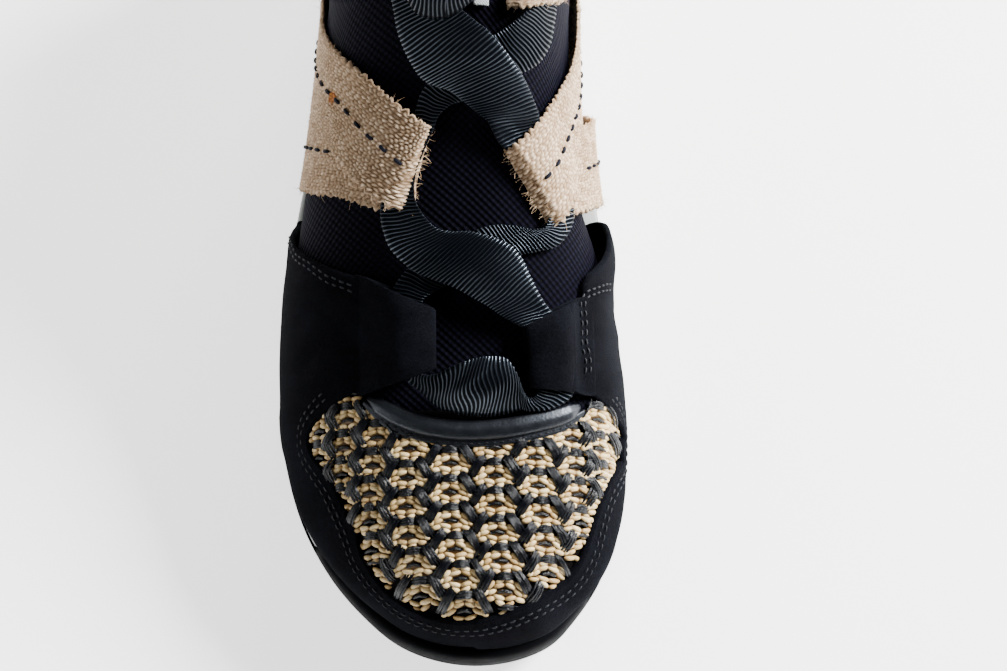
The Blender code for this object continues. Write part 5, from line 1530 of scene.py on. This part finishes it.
def grain_height(u, v, seed):
    """Plump yarn grains in staggered rows, and each grain's own number."""
    long_, wide = GRAIN
    v = v + 0.2 * np.sin(u * 0.7 + seed) + 0.13 * np.sin(u * 1.9 + 0.6 * v)
    u = u + 0.35 * np.sin(v * 0.8 + seed) + 0.2 * np.sin(v * 2.9 + 0.4 * u)
    row = np.floor(v / wide)
    shift = 0.5 * (row % 2) + 0.17 * np.sin(row * 1.7 + seed)
    along = u / long_ + shift
    number = np.sin(np.floor(along) * 12.9898 + row * 78.233 + seed) * 43758.5453
    number -= np.floor(number)
    swell = np.sin(math.pi * (along % 1.0)) ** 0.75 * np.sin(math.pi * ((v / wide) % 1.0)) ** 0.7
    return swell, number


def build_strap(name):
    parts, uvs, tones, hairs, dashes = [], [], [], [], []
    for layer, (rows, width) in enumerate(zip(STRAPS[name], (WEBBING_WIDTH, UNDER_WIDTH))):
        front = name.startswith("front")
        fineness = (0.37 if layer == 0 else 0.5) if front else 0.56
        grid, normals, u, v = strap_grid(rows, width, SKEW[name], fineness)
        side = np.gradient(grid, axis=1)
        side /= np.linalg.norm(side, axis=-1, keepdims=True)
        edge = np.clip((np.abs(v) - width / 2 + 0.9) / 0.9, 0, 1)
        frayed = 0.5 * np.sin(u * 2.99 + layer) + 0.3 * np.sin(u * 4.3 + 2.0)
        grid = grid + side * (np.sign(v) * edge * frayed)[..., None]
        swell, number = grain_height(u, v, layer + len(name))
        height = (0.62 * swell - 0.28) * (0.5 + 0.9 * number) + rng.normal(0, 0.05, u.shape)
        half = WEBBING_THICK / 2 - 0.3
        points, faces = slab(grid, -half - 0.3 * swell, half + height, normals, rounding=0.4, steps=3)
        parts.append((points, turned_out(points, faces).tolist()))
        extra = len(points) - 2 * u.size
        uv = np.column_stack([u.ravel(), v.ravel()])
        uvs += [uv, uv, np.zeros((extra, 2))]
        # Grain tone: darker in the hollows between grains as painted shade, with each grain's own random
        # tone.
        tone = np.clip(0.08 + 0.95 * swell.ravel() * (0.45 + 0.7 * number.ravel()), 0, 1)
        tones += [tone, tone, np.full(extra, 0.55)]
        middle = grid.shape[1] // 2
        if layer == 0 or front:
            line = grid[6:-4, middle] + normals[6:-4, middle] * (half + 0.32)
            if layer:
                line = line[len(line) // 4:]
            dashes += stitches(line[::3], normals[6:-4, middle][-len(line):][::3], 2.9, 2.7, 0.48)
        for _ in range(150 if front else 60):
            which = rng.integers(0, 3)
            if which == 2:
                i, j = rng.integers(2, len(grid) - 2), rng.integers(2, grid.shape[1] - 2)
                out_way = rng.normal(size=3)
            else:
                i, j = rng.integers(1, len(grid) - 1), (0, grid.shape[1] - 1)[which]
                out_way = side[i, j] * (-1, 1)[which] + rng.normal(0, 0.6, 3)
            if rng.random() < 0.3:
                i, j = 0, rng.integers(1, grid.shape[1] - 1)
                ahead = grid[0, j] - grid[3, j]
                out_way = ahead / np.linalg.norm(ahead) + rng.normal(0, 0.5, 3)
            out_way = out_way + normals[i, j] * rng.uniform(0.1, 0.9)
            out_way /= np.linalg.norm(out_way)
            reach = rng.uniform(0.7, 2.6)
            curl = np.cross(out_way, rng.normal(size=3)) * rng.uniform(0.1, 0.5)
            where = np.linspace(0, 1, 5)[:, None]
            path = grid[i, j] + normals[i, j] * 0.5 + reach * (out_way * where + curl * where**2)
            hairs.append(rod(path, np.tile(normals[i, j], (5, 1)), np.linspace(0.07, 0.025, 5), 1.0, 3))
    points, faces = joined(parts)
    piece("strap_" + name + "_webbing", points, faces, jute, uv=np.concatenate(uvs),
          tone=np.concatenate(tones), slot="jute_webbing", node="strap_" + name)
    return hairs, dashes


# Ribbon lace.
LACE_FROM_MEDIAL_TUNNEL = (  # x, s and lift of each selvage, and the bow between them
    (4.6, 80.3, 9.0, 4.6, 65.3, 3.4, 2.5),
    (10.0, 81.0, 9.4, 10.0, 65.0, 3.4, 2.5),
    (14.2, 80.2, 8.6, 15.0, 65.8, 3.4, 2.0),
    (16.8, 76.0, 6.8, 18.4, 66.8, 3.4, 1.2),
    (18.9, 70.8, 4.8, 20.6, 66.6, 3.6, 0.5),
    (21.8, 69.9, 4.2, 26.2, 67.4, 4.0, 0.2),
    (23.2, 73.0, 4.1, 31.0, 71.0, 4.1, 0.0),
    (23.0, 78.0, 4.1, 31.2, 77.5, 4.1, 0.0),
    (22.4, 84.0, 4.1, 30.6, 85.0, 4.1, 0.0),
    (20.0, 87.6, 4.1, 28.8, 90.4, 4.1, 0.0),
    (15.3, 90.4, 4.1, 24.3, 94.5, 4.1, 0.2),
    (12.9, 91.9, 4.4, 21.8, 98.3, 4.6, 0.4),
    (10.1, 94.0, 4.8, 19.4, 102.7, 5.4, 0.9),
    (6.9, 95.8, 4.9, 17.6, 106.5, 5.6, 1.3),
    (3.1, 97.9, 4.9, 15.1, 109.6, 5.8, 1.5),
    (-0.9, 99.8, 4.8, 11.9, 111.3, 5.8, 1.5),
    (-5.5, 101.4, 4.6, 8.2, 112.5, 5.6, 1.3),
    (-9.7, 103.3, 4.2, 3.6, 113.3, 5.2, 1.0),
    (-13.5, 106.3, 3.9, -0.7, 113.2, 4.8, 0.8),
    (-16.5, 109.8, 3.6, -4.1, 114.0, 4.2, 0.5),
    (-18.1, 113.8, 3.3, -6.6, 115.8, 3.4, 0.2),
    (-18.9, 117.7, 3.1, -8.7, 118.3, 3.1, 0.1),
    (-18.8, 121.3, 3.0, -10.3, 121.5, 3.0, 0.0),
    (-17.6, 127.0, 3.0, -10.2, 127.4, 3.0, 0.0),
    (-14.4, 133.4, 3.0, -8.0, 133.2, 3.0, 0.0),
    (-10.4, 139.5, 3.0, -5.4, 138.7, 3.0, 0.0),
    (-9.5, 142.8, 3.2, -4.1, 141.9, 3.2, 0.2),
    (-7.6, 148.0, 3.4, -0.9, 144.8, 3.4, 0.3),
    (-4.0, 152.2, 3.6, 3.2, 146.2, 3.6, 0.4),
    (1.1, 155.8, 3.6, 7.7, 148.4, 3.6, 0.5),
    (6.1, 158.5, 3.8, 12.1, 150.6, 3.8, 0.5),
    (10.4, 161.0, 4.0, 16.6, 153.4, 4.0, 0.6),
    (13.6, 163.4, 4.2, 20.7, 156.9, 4.2, 0.6),
    (16.3, 165.7, 4.0, 23.4, 162.0, 4.0, 0.4),
    (19.0, 168.3, 3.6, 24.6, 167.0, 3.6, 0.2),
    (21.8, 171.2, 3.2, 25.4, 171.4, 3.2, 0.0),
    (20.2, 175.4, 3.0, 23.6, 176.6, 3.0, 0.0),
    (17.9, 179.8, 3.0, 21.0, 181.4, 3.0, 0.0),
    (16.0, 184.6, 3.1, 19.0, 185.8, 3.1, 0.0),
    (13.6, 188.6, 6.4, 17.6, 189.0, 6.8, 0.2),
    (11.6, 188.2, 10.4, 16.6, 188.2, 11.0, 0.4),
    (9.0, 184.4, 12.8, 14.0, 183.0, 12.4, 0.6),
    (6.4, 180.2, 13.2, 10.0, 177.2, 12.2, 0.8),
    (3.8, 177.6, 13.4, 5.6, 171.6, 11.2, 0.8),
    (1.4, 176.0, 13.8, 2.3, 168.3, 10.2, 0.8),
    (-0.8, 176.5, 14.0, -1.4, 166.3, 9.4, 0.8),
)
LACE_FROM_LATERAL_TUNNEL = (
    (6.2, 65.2, 3.0, 6.2, 80.2, 8.6, 2.5),
    (0.0, 66.0, 3.4, 0.6, 78.6, 8.8, 2.2),
    (-4.4, 67.4, 3.4, -4.0, 76.2, 7.0, 1.4),
    (-8.4, 71.4, 3.6, -7.8, 76.0, 5.8, 0.6),
    (-11.6, 74.2, 3.8, -9.4, 77.4, 4.8, 0.3),
    (-15.6, 77.4, 4.1, -9.4, 79.6, 4.3, 0.1),
    (-17.6, 82.0, 4.1, -9.4, 82.6, 4.1, 0.0),
    (-17.4, 90.0, 4.1, -9.2, 90.0, 4.1, 0.0),
    (-16.4, 97.6, 3.2, -8.2, 95.6, 3.2, 0.1),
    (-12.8, 103.0, 2.2, -4.0, 98.4, 2.2, 0.2),
    (-5.0, 107.6, 1.8, 3.6, 101.0, 1.8, 0.3),
    (3.0, 111.6, 1.8, 10.4, 104.0, 1.8, 0.3),
    (10.6, 114.4, 1.9, 17.0, 107.2, 1.9, 0.3),
    (17.0, 114.6, 2.2, 23.0, 109.0, 2.2, 0.3),
    (21.4, 114.2, 2.8, 27.8, 111.4, 2.8, 0.2),
    (24.0, 115.0, 3.2, 30.3, 115.8, 3.2, 0.1),
    (25.2, 118.2, 3.1, 31.1, 121.2, 3.1, 0.0),
    (25.0, 121.8, 3.0, 29.8, 126.0, 3.0, 0.0),
    (22.4, 127.2, 3.0, 27.6, 130.8, 3.0, 0.0),
    (17.6, 131.8, 3.0, 24.8, 136.4, 3.0, 0.0),
    (12.3, 135.7, 3.2, 22.0, 140.9, 3.2, 0.2),
    (9.4, 140.9, 4.3, 20.5, 144.4, 4.4, 0.6),
    (6.5, 143.6, 4.9, 18.3, 148.8, 5.4, 1.0),
    (3.2, 146.3, 5.0, 15.9, 153.0, 6.2, 1.5),
    (-0.6, 148.7, 4.9, 13.6, 156.5, 6.4, 1.8),
    (-4.4, 149.9, 4.7, 11.2, 159.7, 6.4, 1.8),
    (-7.4, 151.6, 4.5, 8.4, 162.6, 6.2, 1.6),
    (-9.9, 154.9, 4.2, 5.4, 164.7, 5.6, 1.3),
    (-12.1, 159.0, 3.9, 2.3, 166.9, 5.0, 1.0),
    (-13.6, 163.0, 3.6, -0.4, 169.5, 4.4, 0.7),
    (-14.3, 167.0, 3.4, -2.7, 172.2, 3.9, 0.4),
    (-15.8, 172.6, 3.0, -7.6, 175.4, 3.4, 0.2),
    (-17.0, 177.6, 3.2, -11.4, 178.8, 3.2, 0.0),
    (-17.1, 182.9, 3.7, -13.4, 182.6, 3.7, 0.0),
    (-16.4, 187.6, 4.0, -12.8, 186.2, 3.8, 0.0),
    (-16.2, 189.8, 7.4, -11.6, 189.2, 7.0, 0.2),
    (-15.6, 188.8, 11.8, -9.8, 188.4, 11.2, 0.4),
    (-14.0, 183.6, 13.0, -8.4, 184.4, 13.2, 0.6),
    (-11.6, 176.6, 12.6, -7.4, 180.6, 13.4, 0.8),
    (-9.1, 170.9, 11.5, -6.4, 178.0, 13.2, 0.8),
    (-7.5, 167.9, 10.5, -4.8, 177.0, 13.5, 0.8),
    (-4.7, 166.4, 9.6, -3.0, 176.6, 13.8, 0.8),
    (-1.4, 166.3, 9.4, -0.8, 176.5, 14.0, 0.8),
)
SWAY, KINK, BAR = 0.22, 0.7, (6.0, 73.0, 8.0)  # how far the ribs wave, how much more at the throat bar
DULL = 0.45  # how much of the ribs' gloss shows away from the painted highlights below
PAINTED_GLINTS = (  # painted highlights: x, s of a row's middle, reach, and how much more gloss shows there
    (-11.0, 111.5, 6.0, 0.95), (13.0, 101.0, 8.5, 1.2), (6.0, 73.0, 8.5, 1.15), (5.0, 154.0, 8.0, 0.8),
    (-5.0, 162.5, 6.0, 0.4), (27.5, 117.5, 4.0, 0.25), (3.0, 178.0, 8.0, 0.4),
)


def ribbon_part(rows):
    """One half of the lace: a ribbed ribbon through stations of its two selvages."""
    rows = np.array(rows, float)
    a, b = below(rows[:, 0], rows[:, 1]), below(rows[:, 3], rows[:, 4])
    _, na = lay(a)
    _, nb = lay(b)
    ends = np.stack([a + na * rows[:, 2:3], b + nb * rows[:, 5:6]], 1)
    _, up = lay(ends.mean(1))
    shares = np.linspace(0, 1, 9)
    coarse = ends[:, :1] * (1 - shares)[None, :, None] + ends[:, 1:] * shares[None, :, None]
    coarse = coarse + (up * rows[:, 6:7])[:, None] * (4 * shares * (1 - shares))[None, :, None]
    middle = coarse[:, 4]
    chord = length_along(middle)
    total = chord[-1]
    count, columns = int(total / 0.22), 13
    flat = coarse.reshape(len(rows), -1)
    u = np.linspace(0, total, count)
    fine = smooth_rows(flat, chord, u)
    grid = refine(fine.reshape(count, 9, 3), count, columns)
    normals = grid_normals(grid)
    upright = np.einsum("ijk,ijk->ij", normals, np.repeat(lay(grid[::60, 8])[1], 60, axis=0)[:count, None]
                        if count <= 60 * len(grid[::60]) else normals).mean()
    if upright < 0:
        normals = -normals
    v = np.linspace(0, 1, columns)[None, :]
    spot = [np.interp(u, chord, (rows[:, k] + rows[:, k + 3]) / 2) for k in (0, 1)]
    near = lambda x, s, reach: np.exp(-((spot[0] - x) ** 2 + (spot[1] - s) ** 2) / reach**2)
    sway = (SWAY + KINK * near(*BAR))[:, None] * np.sin(2 * math.pi * (1.1 * v + 0.05 * u[:, None]))
    along = u[:, None] + sway
    rib = np.cos(2 * math.pi * along / RIB_PITCH)
    edge = (np.abs(v - 0.5) > 0.47)
    side = np.gradient(grid, axis=1)
    side /= np.maximum(np.linalg.norm(side, axis=-1, keepdims=True), 1e-9)
    grid = grid + side * (np.sign(v - 0.5) * edge * (0.18 + 0.08 * rib))[..., None]
    height = RIB_RAISE * rib
    points, faces = slab(grid, -0.3 + height, 0.3 + height, normals, rounding=0.2, steps=2)
    uv = np.column_stack([along.ravel(), np.tile(v[0] * 18.0, count)])
    # Painted highlights: the ribs' specular level is raised round each glint spot and lower elsewhere.
    shade = DULL + sum(more * near(x, s, reach) for x, s, reach, more in PAINTED_GLINTS)
    return points, turned_out(points, faces), uv, np.repeat(shade, columns)


def build_lace():
    lateral = [row[3:6] + row[:3] + row[6:] for row in LACE_FROM_LATERAL_TUNNEL[:0:-1]]
    rows = lateral + list(LACE_FROM_MEDIAL_TUNNEL[1:-1]) + lateral[:1]
    points, faces, uv, shade = ribbon_part(rows)
    rim = len(points) - 2 * len(uv)
    # The ribbon's rounded rim gets a low tone, dimming its gloss as painted shade on the edges.
    shade = np.concatenate([shade, shade, np.full(rim, 0.15)])
    uv = np.concatenate([uv, uv, np.zeros((rim, 2))])
    piece("ribbon_ribbed", points, faces, ribbon, uv=uv, tone=shade, slot="ribbon_black", node="ribbon_lace")


def build_tab():
    xs, ss = np.linspace(6.0, 9.6, 23), np.linspace(166.8, 174.0, 35)
    x, s = np.meshgrid(xs, ss, indexing="ij")
    spots, normals = lay(below(x, s))
    grid, normals = spots.reshape(23, 35, 3), normals.reshape(23, 35, 3)
    points, faces = slab(grid, 0.3, 1.15, normals, rounding=0.3)
    uv = np.column_stack([x.ravel(), s.ravel()])
    uv = np.concatenate([uv, uv, np.zeros((len(points) - 2 * len(uv), 2))])
    piece("tab_woven", points, turned_out(points, faces), tape, uv=uv, slot="tab_grey", node="tongue_tab")


build_outsole()
build_midsole()
build_insole()
build_bootie()
build_mudguard()
build_shade_sheet()
build_weave()
build_piping()
build_stitching()
build_tunnel(LATERAL, "lace_tunnel_lateral")
build_tunnel(MEDIAL, "lace_tunnel_medial")
all_hairs, all_dashes = [], []
for strap_name in STRAPS:
    strap_hairs, strap_dashes = build_strap(strap_name)
    all_hairs += strap_hairs
    all_dashes += strap_dashes
piece("webbing_hairs", *joined(all_hairs), hair_look, slot="jute_webbing")
piece("webbing_dashes", *joined(all_dashes), navy, slot="jute_webbing")
build_lace()
build_tab()

# Floor, light and camera.
floor_mesh = bpy.data.meshes.new("floor")
floor_mesh.from_pydata([(-3, -3, 0), (3, -3, 0), (3, 3, 0), (-3, 3, 0)], [], [(0, 1, 2, 3)])
floor_look = look("floor", (0.93, 0.93, 0.93), 0.9, Emission_Color=(1, 1, 1, 1), Emission_Strength=1.8)
floor_mesh.materials.append(floor_look)
floor = bpy.data.objects.new("floor", floor_mesh)
bpy.context.scene.collection.objects.link(floor)


def lamp(name, place, aim, size, watts):
    data = bpy.data.lights.new(name, "AREA")
    data.shape = "RECTANGLE"
    data.size, data.size_y = size
    data.energy = watts
    made = bpy.data.objects.new(name, data)
    made.location = place
    made.rotation_euler = (Vector(aim) - Vector(place)).to_track_quat("-Z", "Y").to_euler()
    bpy.context.scene.collection.objects.link(made)


lamp("key", (1.15, 0.55, 0.85), (0, -0.03, 0.04), (0.5, 0.5), 128)
lamp("rim", (0.35, 1.5, 0.7), (0, 0, 0.05), (0.6, 0.4), 26)
lamp("fill", (-1.3, -0.5, 0.8), (0, 0, 0.03), (0.8, 0.8), 9)
world = bpy.data.worlds.new("studio")
world.use_nodes = True
world.node_tree.nodes["Background"].inputs["Color"].default_value = (1, 1, 1, 1)
world.node_tree.nodes["Background"].inputs["Strength"].default_value = 0.12
bpy.context.scene.world = world

camera_data = bpy.data.cameras.new("camera")
camera_data.sensor_width = 36.0
camera_data.lens = 98.1
camera = bpy.data.objects.new("camera", camera_data)
camera.location = (0.0149, -0.2473, 0.8049)
camera.rotation_euler = (math.radians(15), 0, 0)
bpy.context.scene.collection.objects.link(camera)
bpy.context.scene.camera = camera
